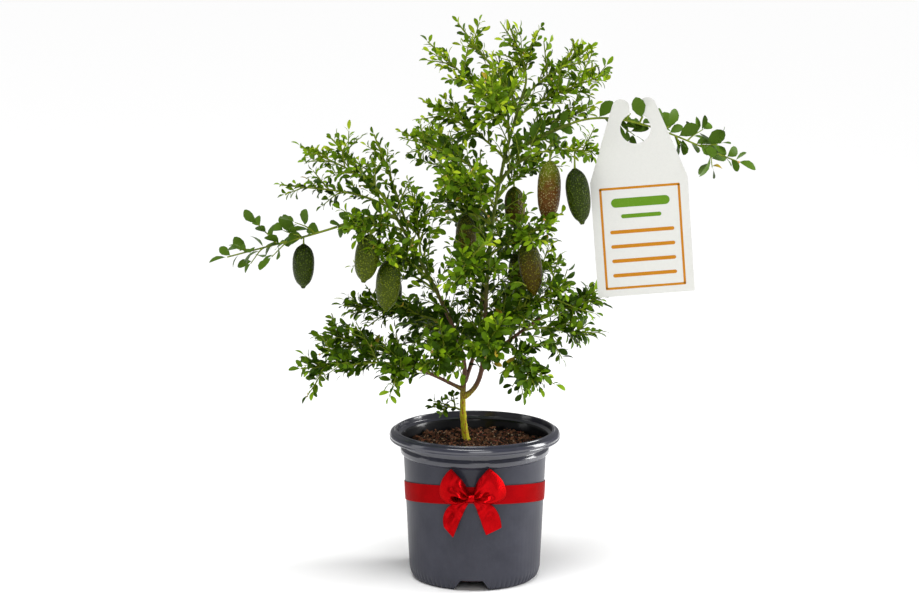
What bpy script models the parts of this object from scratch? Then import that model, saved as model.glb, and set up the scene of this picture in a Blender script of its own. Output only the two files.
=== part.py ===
"""A young finger lime tree in its nursery pot, with a ribbon, a bow and a hanging tag.

The frame is in metres with +Z up. Its origin is the centre of the pot's underside, +X is the
right of the view that the tree is usually shown in, and -Y faces the viewer.
"""
import math
import random

import bmesh
import bpy
import numpy as np
from mathutils import Matrix, Vector
from mathutils.bvhtree import BVHTree

MM = 0.001
GAP = 0.3 * MM                      # clearance between pieces that rest on each other

# The moulded pot. Radii and heights are those of a common 19 cm nursery pot.
POT_RIM_RADIUS = 95 * MM
POT_HEIGHT = 166 * MM
POT_WALL = 1.6 * MM
RIM_DROP = 8 * MM                   # how far the turned-down rim hangs
RIM_INNER_RADIUS = 86 * MM
COLLAR_RADIUS = 83 * MM
COLLAR_TOP = 155.5 * MM
SHOULDER_RADIUS = 81 * MM
SHOULDER_HEIGHT = 143 * MM
WALL_TOP_RADIUS = 79.4 * MM
WALL_TOP = 140 * MM
WALL_FOOT_RADIUS = 73 * MM
WALL_FOOT = 12 * MM
FOOT_RING_RADIUS = 66.5 * MM
FOOT_RING_WIDTH = 3 * MM
BASE_PLATE_UNDERSIDE = 8.5 * MM
BASE_PLATE_TOP = 10.5 * MM
GATE_BOSS_RADIUS = 14 * MM          # the flat boss under the middle of the base
POT_SEGMENTS = 32
DRAIN_HOLES = 4
DRAIN_HOLE_RADIUS = 5 * MM
DRAIN_HOLE_CIRCLE = 45 * MM
FOOT_NOTCHES = 3
NOTCH_TOP_WIDTH = 24.5 * MM
NOTCH_FOOT_WIDTH = 39 * MM
NOTCH_HEIGHT = 8 * MM
NOTCH_TURN = math.radians(-93)      # the front notch is a little left of the middle

SOIL_LEVEL = 150 * MM
SOIL_CLEARANCE = 0.4 * MM

# The satin ribbon round the pot sits higher in front than behind.
RIBBON_LEVEL = 96 * MM
RIBBON_WIDTH = 21 * MM
RIBBON_LIFT = 13 * MM
RIBBON_THICKNESS = 0.5 * MM
BOW_X = -4.5 * MM
BOW_LEVEL = 110 * MM
BOW_THICKNESS = 0.8 * MM

# The hanging tag, measured from the middle of its hole.
TAG_HOLE = Vector((173.5, -28, 507.3)) * MM
TAG_HOLE_RADIUS = 16.5 * MM
TAG_TURN = math.radians(4.4)
TAG_HALF_WIDTH = 53 * MM
TAG_SHOULDER = -56 * MM
TAG_FOOT = -183 * MM
TAG_TOP = 33 * MM
TAG_TOP_HALF_WIDTH = 24 * MM
TAG_LOBE_RADIUS = 9.5 * MM
TAG_SLOT_HALF_WIDTH = 5 * MM
TAG_THICKNESS = 0.8 * MM

# Foliage: a leaf stands for two or three real ones, so it is larger than life.
LEAF_WIDTH_SHARE = 0.52
LEAF_THICKNESS_SHARE = 0.06
TWIG_RADIUS = 1.1 * MM
TWIG_TIP_RADIUS = 0.8 * MM
STEM_RADIUS = 1.5 * MM
STEM_TIP_RADIUS = 1.0 * MM
TWIG_SPACING = 18 * MM
LEAF_SPACING = 11 * MM
GOLDEN_ANGLE = math.radians(137.5)
SPACE_MARGIN = 1.1 * MM             # how far a twig or leaf stays inside its own space
FRUIT_SIDES = 7


def clear_scene():
    for item in list(bpy.data.objects):
        bpy.data.objects.remove(item, do_unlink=True)


def material(name, colour, roughness, metallic=0.0):
    """A plain Principled material with the part's colour."""
    made = bpy.data.materials.new(name)
    made.use_nodes = True
    shader = made.node_tree.nodes["Principled BSDF"]
    shader.inputs["Base Color"].default_value = (*colour, 1.0)
    shader.inputs["Roughness"].default_value = roughness
    shader.inputs["Metallic"].default_value = metallic
    return made


def add_object(name, vertices, faces, surface=None, collection=None):
    mesh = bpy.data.meshes.new(name)
    mesh.from_pydata([tuple(v) for v in vertices], [], faces)
    mesh.update()
    made = bpy.data.objects.new(name, mesh)
    (collection or bpy.context.scene.collection).objects.link(made)
    if surface:
        mesh.materials.append(surface)
    return made


def shade_round(thing, crease=40):
    thing.data.shade_smooth()
    thing.data.set_sharp_from_angle(angle=math.radians(crease))


def lathe(profile, segments=POT_SEGMENTS):
    """Turns a profile that starts and ends on the axis into a closed skin, facing out."""
    vertices = [Vector((0, 0, profile[0][1]))]
    rings = []
    for radius, height in profile[1:-1]:
        rings.append(len(vertices))
        for step in range(segments):
            turn = 2 * math.pi * step / segments
            vertices.append(Vector((radius * math.cos(turn), radius * math.sin(turn), height)))
    last = len(vertices)
    vertices.append(Vector((0, 0, profile[-1][1])))
    faces = []
    for step in range(segments):
        after = (step + 1) % segments
        faces.append((0, rings[0] + after, rings[0] + step))
        for low, high in zip(rings, rings[1:]):
            faces.append((low + step, low + after, high + after, high + step))
        faces.append((rings[-1] + step, rings[-1] + after, last))
    return vertices, faces


def tube(path, radii, sides, turn=0.0, root_heading=None, across=None):
    """A closed limb through the points of a path, with flat ends and its first corner across."""
    vertices = []
    for index, point in enumerate(path):
        before = path[max(index - 1, 0)]
        after = path[min(index + 1, len(path) - 1)]
        tangent = (after - before).normalized()
        if index == 0 and root_heading:
            tangent = root_heading
        across = tangent.orthogonal() if across is None else across - tangent * across.dot(tangent)
        across.normalize()
        other = tangent.cross(across)
        for side in range(sides):
            angle = turn + 2 * math.pi * side / sides
            offset = across * math.cos(angle) + other * math.sin(angle)
            vertices.append(point + offset * radii[index])
    faces = [tuple(reversed(range(sides)))]
    for ring in range(len(path) - 1):
        low = ring * sides
        for side in range(sides):
            after = (side + 1) % sides
            faces.append((low + side, low + after, low + sides + after, low + sides + side))
    faces.append(tuple(range(len(vertices) - sides, len(vertices))))
    return vertices, faces


def cubic(start, pull_out, pull_in, end, steps):
    """Points along a cubic curve that leaves by one pull and arrives by the other."""
    points = []
    for step in range(steps + 1):
        t = step / steps
        s = 1 - t
        points.append(s ** 3 * start + 3 * s * s * t * pull_out + 3 * s * t * t * pull_in + t ** 3 * end)
    return points


def apply_modifiers(thing):
    """Keeps the shape that the modifiers make, and removes them."""
    graph = bpy.context.evaluated_depsgraph_get()
    shaped = bpy.data.meshes.new_from_object(thing.evaluated_get(graph))
    thing.modifiers.clear()
    thing.data = shaped


def drop_scraps(mesh):
    """Keeps the one largest shell: scraps go, and a hollow that fusing sealed is filled."""
    work = bmesh.new()
    work.from_mesh(mesh)
    waiting = set(work.verts)
    shells = []
    while waiting:
        shell = set()
        front = [waiting.pop()]
        while front:
            vertex = front.pop()
            shell.add(vertex)
            for edge in vertex.link_edges:
                other = edge.other_vert(vertex)
                if other in waiting:
                    waiting.discard(other)
                    front.append(other)
        shells.append(shell)
    shells.sort(key=len, reverse=True)
    for shell in shells[1:]:
        bmesh.ops.delete(work, geom=list(shell), context="VERTS")
    bmesh.ops.triangulate(work, faces=work.faces)
    work.to_mesh(mesh)
    work.free()


def crosses_itself(mesh):
    """True where two faces of a mesh that share no corner cut each other."""
    faces = [tuple(p.vertices) for p in mesh.polygons]
    tree = BVHTree.FromPolygons([v.co for v in mesh.vertices], faces)
    return any(not set(faces[a]) & set(faces[b]) for a, b in tree.overlap(tree) if a < b)


def thin_out(thing, shares=(0.68, 0.76, 0.86)):
    """Merges the sliver triangles that a union leaves round each joint."""
    for share in shares:
        fewer = thing.modifiers.new("thin", "DECIMATE")
        fewer.ratio = share
        graph = bpy.context.evaluated_depsgraph_get()
        thinned = bpy.data.meshes.new_from_object(thing.evaluated_get(graph))
        thing.modifiers.clear()
        if not crosses_itself(thinned):
            thing.data = thinned
            return


def fuse(name, pieces, surface, solver="EXACT"):
    """Joins closed pieces into one solid by a single union on a collection."""
    body = add_object(name, *pieces[0], surface)
    parts = bpy.data.collections.new(name + "_parts")
    bpy.context.scene.collection.children.link(parts)
    for index, (vertices, faces) in enumerate(pieces[1:]):
        add_object(f"{name}_part{index}", vertices, faces, collection=parts)
    union = body.modifiers.new("fuse", "BOOLEAN")
    union.operation = "UNION"
    union.solver = solver
    union.operand_type = "COLLECTION"
    union.collection = parts
    apply_modifiers(body)
    for item in list(parts.objects):
        used = item.data
        bpy.data.objects.remove(item, do_unlink=True)
        bpy.data.meshes.remove(used)
    bpy.data.collections.remove(parts)
    drop_scraps(body.data)
    body.data.materials.clear()
    body.data.materials.append(surface)
    return body


def cut(thing, name, vertices, faces):
    """Cuts a shape out of a piece and keeps the result."""
    cutter = add_object(name, vertices, faces)
    cutter.hide_render = True
    cutter.display_type = "WIRE"
    hole = thing.modifiers.new("cut", "BOOLEAN")
    hole.operation = "DIFFERENCE"
    hole.solver = "EXACT"
    hole.object = cutter
    apply_modifiers(thing)
    bpy.data.objects.remove(cutter, do_unlink=True)


def prism(outline, start, end):
    """A straight prism: an outline of points, moved from one offset to the other."""
    count = len(outline)
    vertices = [p + start for p in outline] + [p + end for p in outline]
    faces = [tuple(reversed(range(count))), tuple(range(count, 2 * count))]
    for index in range(count):
        after = (index + 1) % count
        faces.append((index, after, count + after, count + index))
    return vertices, faces


def face_outwards(thing):
    work = bmesh.new()
    work.from_mesh(thing.data)
    bmesh.ops.recalc_face_normals(work, faces=work.faces)
    work.to_mesh(thing.data)
    work.free()


# The pot: one thin moulding with a turned-down rim, a stacking ledge inside it, and a raised base.

def wall_radius(height):
    """The outer radius of the pot's plain wall."""
    share = (height - WALL_FOOT) / (WALL_TOP - WALL_FOOT)
    return WALL_FOOT_RADIUS + share * (WALL_TOP_RADIUS - WALL_FOOT_RADIUS)


def build_pot(surface):
    lip = POT_HEIGHT - POT_WALL
    rim_foot = POT_HEIGHT - RIM_DROP
    skirt = POT_RIM_RADIUS - POT_WALL
    profile = [
        (0, 0),
        (GATE_BOSS_RADIUS, 0),
        (GATE_BOSS_RADIUS, BASE_PLATE_UNDERSIDE),
        (FOOT_RING_RADIUS - FOOT_RING_WIDTH, BASE_PLATE_UNDERSIDE),
        (FOOT_RING_RADIUS - FOOT_RING_WIDTH, 0),
        (FOOT_RING_RADIUS, 0),
        (FOOT_RING_RADIUS + 4.3 * MM, 3.5 * MM),
        (WALL_FOOT_RADIUS, WALL_FOOT),
        (WALL_TOP_RADIUS, WALL_TOP),
        (SHOULDER_RADIUS, SHOULDER_HEIGHT),
        (SHOULDER_RADIUS - 0.4 * MM, SHOULDER_HEIGHT + 4 * MM),
        (COLLAR_RADIUS, COLLAR_TOP),
        (RIM_INNER_RADIUS + POT_WALL, COLLAR_TOP + 1.5 * MM),
        (RIM_INNER_RADIUS + POT_WALL, lip),
        (skirt, lip),
        (skirt, rim_foot),
        (POT_RIM_RADIUS, rim_foot),
        (POT_RIM_RADIUS, lip),
        (skirt, POT_HEIGHT),
        (RIM_INNER_RADIUS, POT_HEIGHT),
        (RIM_INNER_RADIUS, COLLAR_TOP + 3 * MM),
        (COLLAR_RADIUS - 1 * MM, COLLAR_TOP + 2 * MM),
        (SHOULDER_RADIUS - POT_WALL - 0.6 * MM, SHOULDER_HEIGHT + 4 * MM),
        (WALL_TOP_RADIUS - POT_WALL, WALL_TOP),
        (WALL_FOOT_RADIUS - POT_WALL, WALL_FOOT + 2 * MM),
        (WALL_FOOT_RADIUS - POT_WALL - 2 * MM, BASE_PLATE_TOP),
        (0, BASE_PLATE_TOP),
    ]
    pot = add_object("pot", *lathe(profile), surface)
    for index in range(FOOT_NOTCHES):
        turn = NOTCH_TURN + index * 2 * math.pi / FOOT_NOTCHES
        outline = [
            Vector((0, -NOTCH_FOOT_WIDTH / 2 - 1.2 * MM, -1.5 * MM)),
            Vector((0, NOTCH_FOOT_WIDTH / 2 + 1.2 * MM, -1.5 * MM)),
            Vector((0, NOTCH_TOP_WIDTH / 2, NOTCH_HEIGHT)),
            Vector((0, -NOTCH_TOP_WIDTH / 2, NOTCH_HEIGHT)),
        ]
        vertices, faces = prism(outline, Vector((55 * MM, 0, 0)), Vector((80 * MM, 0, 0)))
        spin = Matrix.Rotation(turn, 3, "Z")
        cut(pot, "notch_cutter", [spin @ v for v in vertices], faces)
    for index in range(DRAIN_HOLES):
        turn = 2 * math.pi * (index + 0.5) / DRAIN_HOLES
        centre = Vector((DRAIN_HOLE_CIRCLE * math.cos(turn), DRAIN_HOLE_CIRCLE * math.sin(turn), 0))
        ring = [centre + DRAIN_HOLE_RADIUS * Vector((math.cos(a), math.sin(a), 0))
                for a in (2 * math.pi * k / 8 for k in range(8))]
        vertices, faces = prism(ring, Vector((0, 0, 5 * MM)), Vector((0, 0, 15 * MM)))
        cut(pot, "drain_cutter", vertices, faces)
    face_outwards(pot)
    shade_round(pot)
    return pot


def build_soil(surface):
    """The potting mix: it fills the pot to just under the stacking ledge."""
    inner_foot = WALL_FOOT_RADIUS - POT_WALL - SOIL_CLEARANCE
    inner_top = WALL_TOP_RADIUS - POT_WALL - SOIL_CLEARANCE
    profile = [
        (0, BASE_PLATE_TOP + SOIL_CLEARANCE),
        (inner_foot - 2.3 * MM, BASE_PLATE_TOP + SOIL_CLEARANCE),
        (inner_foot, WALL_FOOT + 2.3 * MM),
        (inner_top, WALL_TOP),
        (inner_top - 0.2 * MM, SOIL_LEVEL - 1 * MM),
        (0.6 * inner_top, SOIL_LEVEL),
        (0, SOIL_LEVEL),
    ]
    soil = add_object("soil", *lathe(profile), surface)
    shade_round(soil)
    return soil


# The ribbon: a satin band tied round the wall, and a bow with two loops, two tails and a knot.

def band_middle(turn):
    """Height of the ribbon's middle at a compass turn: highest in front, at -Y."""
    return RIBBON_LEVEL - RIBBON_LIFT * math.sin(turn)


def build_band(surface):
    section = [(GAP, -0.5), (GAP + RIBBON_THICKNESS, -0.5), (GAP + RIBBON_THICKNESS, 0.5), (GAP, 0.5)]
    vertices = []
    for step in range(POT_SEGMENTS):
        turn = 2 * math.pi * step / POT_SEGMENTS
        for proud, share in section:
            height = band_middle(turn) + share * RIBBON_WIDTH
            radius = wall_radius(height) + proud
            vertices.append(Vector((radius * math.cos(turn), radius * math.sin(turn), height)))
    faces = []
    for step in range(POT_SEGMENTS):
        here = 4 * step
        after = 4 * ((step + 1) % POT_SEGMENTS)
        for corner in range(4):
            up = (corner + 1) % 4
            faces.append((here + corner, after + corner, after + up, here + up))
    band = add_object("ribbon_band", vertices, faces, surface)
    shade_round(band)
    return band


def on_wall(x, height, proud):
    """A point in front of the pot's wall that stands so far proud of it."""
    radius = wall_radius(height) + proud
    return Vector((x, -math.sqrt(radius * radius - x * x), height))


def strip(left_edge, right_edge, thickness):
    """A closed ribbon between two edges that have the same number of points."""
    vertices = []
    count = len(left_edge)
    for index in range(count):
        before = max(index - 1, 0)
        after = min(index + 1, count - 1)
        along = (left_edge[after] + right_edge[after] - left_edge[before] - right_edge[before]).normalized()
        normal = (right_edge[index] - left_edge[index]).cross(along).normalized() * thickness / 2
        vertices += [left_edge[index] - normal, right_edge[index] - normal,
                     right_edge[index] + normal, left_edge[index] + normal]
    faces = [(0, 1, 2, 3)]
    for index in range(count - 1):
        low = 4 * index
        for side in range(4):
            after = (side + 1) % 4
            faces.append((low + after, low + side, low + 4 + side, low + 4 + after))
    faces.append((4 * count - 1, 4 * count - 2, 4 * count - 3, 4 * count - 4))
    return vertices, faces


def bow_loop(side):
    """A teardrop of ribbon that leaves the knot in front and comes back behind."""
    steps = 9
    reach = 29 * MM
    upper, lower = [], []
    for step in range(steps + 1):
        t = step / steps
        out = math.sin(math.pi * t)
        depth = 7.2 * MM + 3.4 * MM * math.cos(math.pi * t) + 2.4 * MM * math.sin(2 * math.pi * t)
        half = 3.2 * MM + 12 * MM * out ** 1.3
        x = BOW_X + side * (3 * MM + (reach - 1 * MM) * out)
        z = BOW_LEVEL + 1 * MM + 17 * MM * out
        lean = side * half * 0.32
        upper.append(on_wall(x - lean, z + half, depth))
        lower.append(on_wall(x + lean, z - half, depth + 1.5 * MM * out))
    return strip(upper, lower, BOW_THICKNESS)


def bow_tail(side):
    """A tail that falls from the knot along the wall and ends in a slanting cut."""
    lengths = {-1: 44 * MM, 1: 41 * MM}
    steps = 4
    outer, inner = [], []
    for step in range(steps + 1):
        t = step / steps
        drop = lengths[side] * t
        outer_x = 4 * MM + 19 * MM * math.sin(math.pi * (0.12 + 0.62 * t)) + 6 * MM * t
        inner_x = 2 * MM + 13 * MM * t ** 1.4
        proud = 2.8 * MM + 3.2 * MM * (1 - t) ** 2 + 1.0 * MM * math.sin(math.pi * t)
        outer.append(on_wall(BOW_X + side * outer_x, BOW_LEVEL - 1 * MM - drop * 0.82, proud))
        inner.append(on_wall(BOW_X + side * inner_x, BOW_LEVEL - 3 * MM - drop * 0.95, proud + 0.4 * MM))
    return strip(outer, inner, BOW_THICKNESS) if side > 0 else strip(inner, outer, BOW_THICKNESS)


def bow_knot():
    """The small tight knot: a barrel that lies along the band, pressed flat."""
    half_length = 6.5 * MM
    rings, sides = 4, 8
    vertices = []
    for ring in range(rings + 1):
        share = 2 * ring / rings - 1
        swell = 1 - 0.35 * share ** 4
        centre = on_wall(BOW_X + half_length * share, BOW_LEVEL, 6.1 * MM)
        for side in range(sides):
            angle = 2 * math.pi * side / sides
            vertices.append(centre + Vector((0, 4.6 * MM * swell * math.cos(angle),
                                             5.2 * MM * swell * math.sin(angle))))
    faces = [tuple(reversed(range(sides)))]
    for ring in range(rings):
        low = ring * sides
        for side in range(sides):
            after = (side + 1) % sides
            faces.append((low + side, low + after, low + sides + after, low + sides + side))
    faces.append(tuple(range(len(vertices) - sides, len(vertices))))
    return vertices, faces


def build_bow(surface):
    pieces = [bow_knot(), bow_loop(-1), bow_loop(1), bow_tail(-1), bow_tail(1)]
    for index, (vertices, faces) in enumerate(pieces):
        probe = add_object("probe", vertices, faces)
        face_outwards(probe)
        pieces[index] = ([v.co.copy() for v in probe.data.vertices],
                         [tuple(p.vertices) for p in probe.data.polygons])
        bpy.data.objects.remove(probe, do_unlink=True)
    bow = fuse("bow", pieces, surface)
    shade_round(bow)
    return bow


# The tag: a thin stiff card with a hole, slit open at the top so that it clips over a twig.

def arc_points(centre_x, centre_z, radius, start, end, steps):
    return [(centre_x + radius * math.cos(start + (end - start) * k / steps),
             centre_z + radius * math.sin(start + (end - start) * k / steps)) for k in range(steps + 1)]


def tag_outline():
    """The card's outline in its own plane, anticlockwise, measured from the hole's middle."""
    slot = math.acos(TAG_SLOT_HALF_WIDTH / TAG_HOLE_RADIUS)
    lobe_x = TAG_SLOT_HALF_WIDTH + TAG_LOBE_RADIUS
    lobe_z = TAG_TOP - TAG_LOBE_RADIUS
    slope = math.atan2(TAG_HALF_WIDTH - TAG_TOP_HALF_WIDTH, lobe_z - TAG_SHOULDER)
    right = [(TAG_HALF_WIDTH, TAG_FOOT), (TAG_HALF_WIDTH, TAG_SHOULDER)]
    right += arc_points(lobe_x, lobe_z, TAG_LOBE_RADIUS, slope, math.pi, 8)
    left = [(-x, z) for x, z in reversed(right)]
    hole = arc_points(0, 0, TAG_HOLE_RADIUS, slot, slot - 2 * math.pi + (math.pi - 2 * slot), 22)
    return right + hole + left


def build_tag(surface):
    spin = Matrix.Rotation(-TAG_TURN, 3, "Y")
    outline = [TAG_HOLE + spin @ Vector((x, 0, z)) for x, z in tag_outline()]
    half = Vector((0, TAG_THICKNESS / 2, 0))
    tag = add_object("tag", *prism(outline, -half, half), surface)
    face_outwards(tag)
    return tag


# The tree: a short trunk, three leaders, boughs, and masses of foliage that keep to their own space.

class Limb:
    """A round limb along a cubic curve that thins from its root to its tip."""

    def __init__(self, start, pull_out, pull_in, end, radius, tip_radius, across=None):
        self.corners = (start, pull_out, pull_in, end)
        self.across = across
        self.radius = radius
        self.tip_radius = tip_radius
        self.length = sum((b - a).length for a, b in zip(self.points(24), self.points(24)[1:]))

    def points(self, steps):
        return cubic(*self.corners, steps)

    def at(self, t):
        """The place and the direction at a share of the way along."""
        a, b, c, d = self.corners
        s = 1 - t
        place = s ** 3 * a + 3 * s * s * t * b + 3 * s * t * t * c + t ** 3 * d
        heading = s * s * (b - a) + 2 * s * t * (c - b) + t * t * (d - c)
        return place, heading.normalized()

    def thickness(self, t):
        return self.radius + (self.tip_radius - self.radius) * t

    def solid(self, sides, spacing):
        steps = max(2, round(self.length / spacing))
        radii = [self.thickness(k / steps) for k in range(steps + 1)]
        return tube(self.points(steps), radii, sides, root_heading=self.at(0)[1], across=self.across)


def seat(limb, along, heading, radius):
    """Where a limb of that radius starts so that its root lies just clear of the limb it leaves."""
    place, tangent = limb.at(along)
    if along >= 1:
        return place + tangent * GAP
    cosine = abs(heading.dot(tangent))
    sine = max(math.sqrt(1 - cosine * cosine), 0.3)
    return place + heading * ((limb.thickness(along) + GAP + radius * cosine) / sine)


def millimetres(x, y, z):
    return Vector((x, y, z)) * MM


def make_limbs():
    """Each limb: the limb and share it leaves, its two pulls, its end, and its two radii."""
    limbs = {}
    limbs["trunk"] = Limb(millimetres(-9, 14, 150.3), millimetres(-14, 14, 172), millimetres(-14.5, 14, 203),
                          millimetres(-11.5, 14, 224), 3.6 * MM, 3.0 * MM)
    plan = (
        ("right_leader", "trunk", 0.66, (32, 8, 232), (-15, 10, 335), (54, 12, 545), 2.8, 1.6),
        ("left_leader", "trunk", 1.0, (-12, 13, 258), (-52, -2, 345), (-95, -17, 424), 2.5, 1.7),
        ("rear_leader", "trunk", 0.86, (4, 40, 250), (22, 52, 330), (-4, 70, 425), 2.3, 1.5),
        ("low_left_bough", "trunk", 0.78, (-42, 2, 226), (-60, -6, 238), (-84, -12, 243), 2.0, 1.6),
        ("low_right_bough", "right_leader", 0.27, (30, 4, 258), (50, -4, 280), (72, -9, 294), 2.1, 1.6),
        ("left_arm", "left_leader", 0.93, (-104, -21, 413), (-125, -24, 407), (-150, -25, 399), 2.0, 1.7),
        ("right_arm", "right_leader", 0.86, (50, 4, 484), (72, -8, 497), (104, -16, 511), 2.1, 1.7),
        ("fruit_arm", "right_leader", 0.82, (40, -4, 464), (52, -12, 471), (62, -20, 477), 1.8, 1.5),
    )
    for name, parent, along, pull_out, pull_in, end, radius, tip_radius in plan:
        pull_out, pull_in, end = millimetres(*pull_out), millimetres(*pull_in), millimetres(*end)
        place, tangent = limbs[parent].at(along)
        heading = (pull_out - place).normalized() if along < 1 else tangent
        start = seat(limbs[parent], along, heading, radius * MM)
        pull_out = start + heading * (pull_out - start).length
        limbs[name] = Limb(start, pull_out, pull_in, end, radius * MM, tip_radius * MM)
    return limbs


# Each mass: the limb it grows on, the share along it, the tip of its stem in millimetres, how far
# its twigs spread, and the length of its leaves.
MASSES = {
    "low_left_tip": ("low_left_bough", 1.0, (-195, -30, 243), 40, 25),
    "low_left_rear": ("low_left_bough", 0.62, (-180, 42, 268), 40, 25),
    "low_left_front": ("low_left_bough", 0.45, (-98, -88, 254), 38, 24),
    "low_left_upper": ("left_leader", 0.36, (-150, 30, 304), 38, 25),
    "basal_sprout": ("trunk", 0.45, (-48, -4, 196), 20, 18),
    "low_right_tip": ("low_right_bough", 1.0, (142, -18, 322), 38, 25),
    "low_right_rear": ("low_right_bough", 0.66, (130, 46, 266), 42, 25),
    "low_right_front": ("low_right_bough", 0.42, (66, -78, 234), 42, 25),
    "low_right_high_rear": ("right_leader", 0.42, (96, 40, 358), 40, 25),
    "low_right_high_front": ("right_leader", 0.38, (104, -56, 344), 42, 25),
    "front_low_left": ("left_leader", 0.18, (-46, -100, 268), 44, 25),
    "front_low_right": ("right_leader", 0.32, (16, -104, 282), 44, 25),
    "rear_low_left": ("rear_leader", 0.30, (-78, 108, 268), 46, 25),
    "rear_low_right": ("rear_leader", 0.36, (62, 120, 280), 46, 25),
    "left_mid_rear": ("left_leader", 0.56, (-128, 56, 356), 42, 25),
    "left_mid_front": ("left_leader", 0.60, (-118, -94, 398), 38, 25),
    "left_fruit_spray": ("left_leader", 0.86, (-138, -104, 412), 34, 24),
    "front_mid": ("right_leader", 0.56, (-16, -98, 378), 44, 25),
    "centre_left": ("left_leader", 0.72, (-66, -46, 442), 40, 25),
    "right_fruit_spray": ("right_leader", 0.64, (86, -66, 412), 34, 24),
    "centre_fruit_spray": ("right_leader", 0.72, (-44, 54, 424), 38, 25),
    "rear_mid_right": ("rear_leader", 0.66, (74, 88, 376), 44, 25),
    "rear_mid": ("rear_leader", 0.80, (-6, 148, 392), 44, 25),
    "rear_high_left": ("rear_leader", 1.0, (-62, 96, 492), 44, 25),
    "right_rear_spray": ("right_leader", 0.78, (78, 62, 466), 38, 25),
    "left_arm_spray": ("left_arm", 1.0, (-274, -30, 365), 18, 25),
    "left_high_outer": ("left_leader", 0.97, (-217, 26, 440), 22, 23),
    "left_high_front": ("left_leader", 1.0, (-190, -42, 494), 36, 25),
    "left_high_rear": ("left_leader", 0.90, (-160, 44, 490), 27, 24),
    "left_high_inner": ("left_leader", 0.80, (-111, 2, 500), 19, 21),
    "centre_high_left": ("right_leader", 0.81, (-82, -22, 506), 36, 25),
    "centre_high_rear": ("right_leader", 0.87, (-56, 42, 530), 31, 24),
    "front_high_left": ("right_leader", 0.77, (-38, -88, 468), 42, 25),
    "top_left": ("right_leader", 0.925, (-53, -18, 604), 36, 25),
    "top_centre": ("right_leader", 0.965, (-20, 22, 620), 23, 23),
    "top_right": ("right_leader", 1.0, (40, -8, 618), 38, 25),
    "top_far_right": ("right_leader", 0.975, (128, 34, 592), 36, 25),
    "top_rear": ("right_leader", 0.905, (34, 100, 562), 44, 25),
    "top_front": ("right_leader", 0.915, (10, -90, 562), 42, 25),
    "right_high": ("right_leader", 0.945, (152, -22, 572), 34, 25),
    "right_high_low": ("right_leader", 0.885, (134, 36, 528), 34, 25),
    "right_arm_spray": ("right_arm", 1.0, (290, -20, 472), 20, 25),
    "fruit_arm_spray": ("fruit_arm", 1.0, (142, -56, 488), 24, 22),
}

# Each fruit: the mass that carries it, the share along its stem, how far its neck hangs below, its
# length, how far its tip leans to the right, and its radius, in millimetres.
FRUITS = (
    ("left_arm_spray", 0.34, 7, 48, -1, 12.0),
    ("left_fruit_spray", 0.69, 8, 51, -8, 13.5),
    ("left_mid_front", 0.73, 6, 54, -5, 13.5),
    ("centre_fruit_spray", 0.59, 6, 54, 0, 11.5),
    ("right_rear_spray", 0.46, 6, 46, 2, 11.5),
    ("fruit_arm_spray", 0.32, 8, 61, -2, 12.5),
    ("fruit_arm_spray", 0.71, 18, 58, 9, 13.0),
    ("right_fruit_spray", 0.68, 6, 58, 9, 12.5),
    ("rear_mid", 0.80, 7, 54, 2, 12.5),
    ("rear_mid_right", 0.80, 7, 52, 2, 12.0),
    ("left_mid_rear", 0.70, 7, 50, -2, 12.0),
)


def mass_stem(limbs, limb_name, along, reach_to, leaf_length):
    """The stem of a mass: it leaves its limb outwards and lifts a little on its way to the tip.

    The last leaf ends at the tip. The stem has three sides, and turns a flat one to the crotch,
    where it lies closest to its limb.
    """
    limb = limbs[limb_name]
    place, tangent = limb.at(along)
    direct = reach_to - place
    tip = reach_to - direct.normalized() * leaf_length * 0.85
    heading = tangent if along >= 1 else (direct.normalized() + Vector((0, 0, 0.35))).normalized()
    start = seat(limb, along, heading, STEM_RADIUS / 2)
    crotch = tangent - heading * tangent.dot(heading)
    across = -crotch if crotch.length > 0.05 else None
    reach = (tip - start).length
    return Limb(start, start + heading * reach * 0.34, tip - (tip - start - heading * reach * 0.25) * 0.36,
                tip, STEM_RADIUS, STEM_TIP_RADIUS, across)


class Fruit:
    """A finger-shaped fruit that hangs from its mass's stem on a short stalk."""

    def __init__(self, stems, carrier, share, drop, length, lean, radius):
        self.carrier = carrier
        self.spot = stems[carrier].at(share)[0]
        self.neck = self.spot + millimetres(0, 0, -drop)
        self.axis = millimetres(lean, 0, -length)
        self.radius = radius * MM

    def thickness(self, t):
        """Its outline: a tapered neck, a long cylindrical middle and a small nipple."""
        return self.radius * math.sin(math.pi * min(max(t, 0.0), 1.0) ** 0.86) ** 0.62 * (1 - 0.1 * t)

    def pieces(self):
        """The stalk and the fruit itself, sunk into each other."""
        shares = (0.04, 0.2, 0.5, 0.8, 0.96)
        path = [self.neck + self.axis * t for t in shares]
        radii = [max(self.thickness(t), 1.6 * MM) for t in shares]
        stalk = tube([self.spot, self.neck + self.axis * 0.1], [1.2 * MM, 1.2 * MM], 3)
        return [stalk, tube(path, radii, FRUIT_SIDES)]


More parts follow.
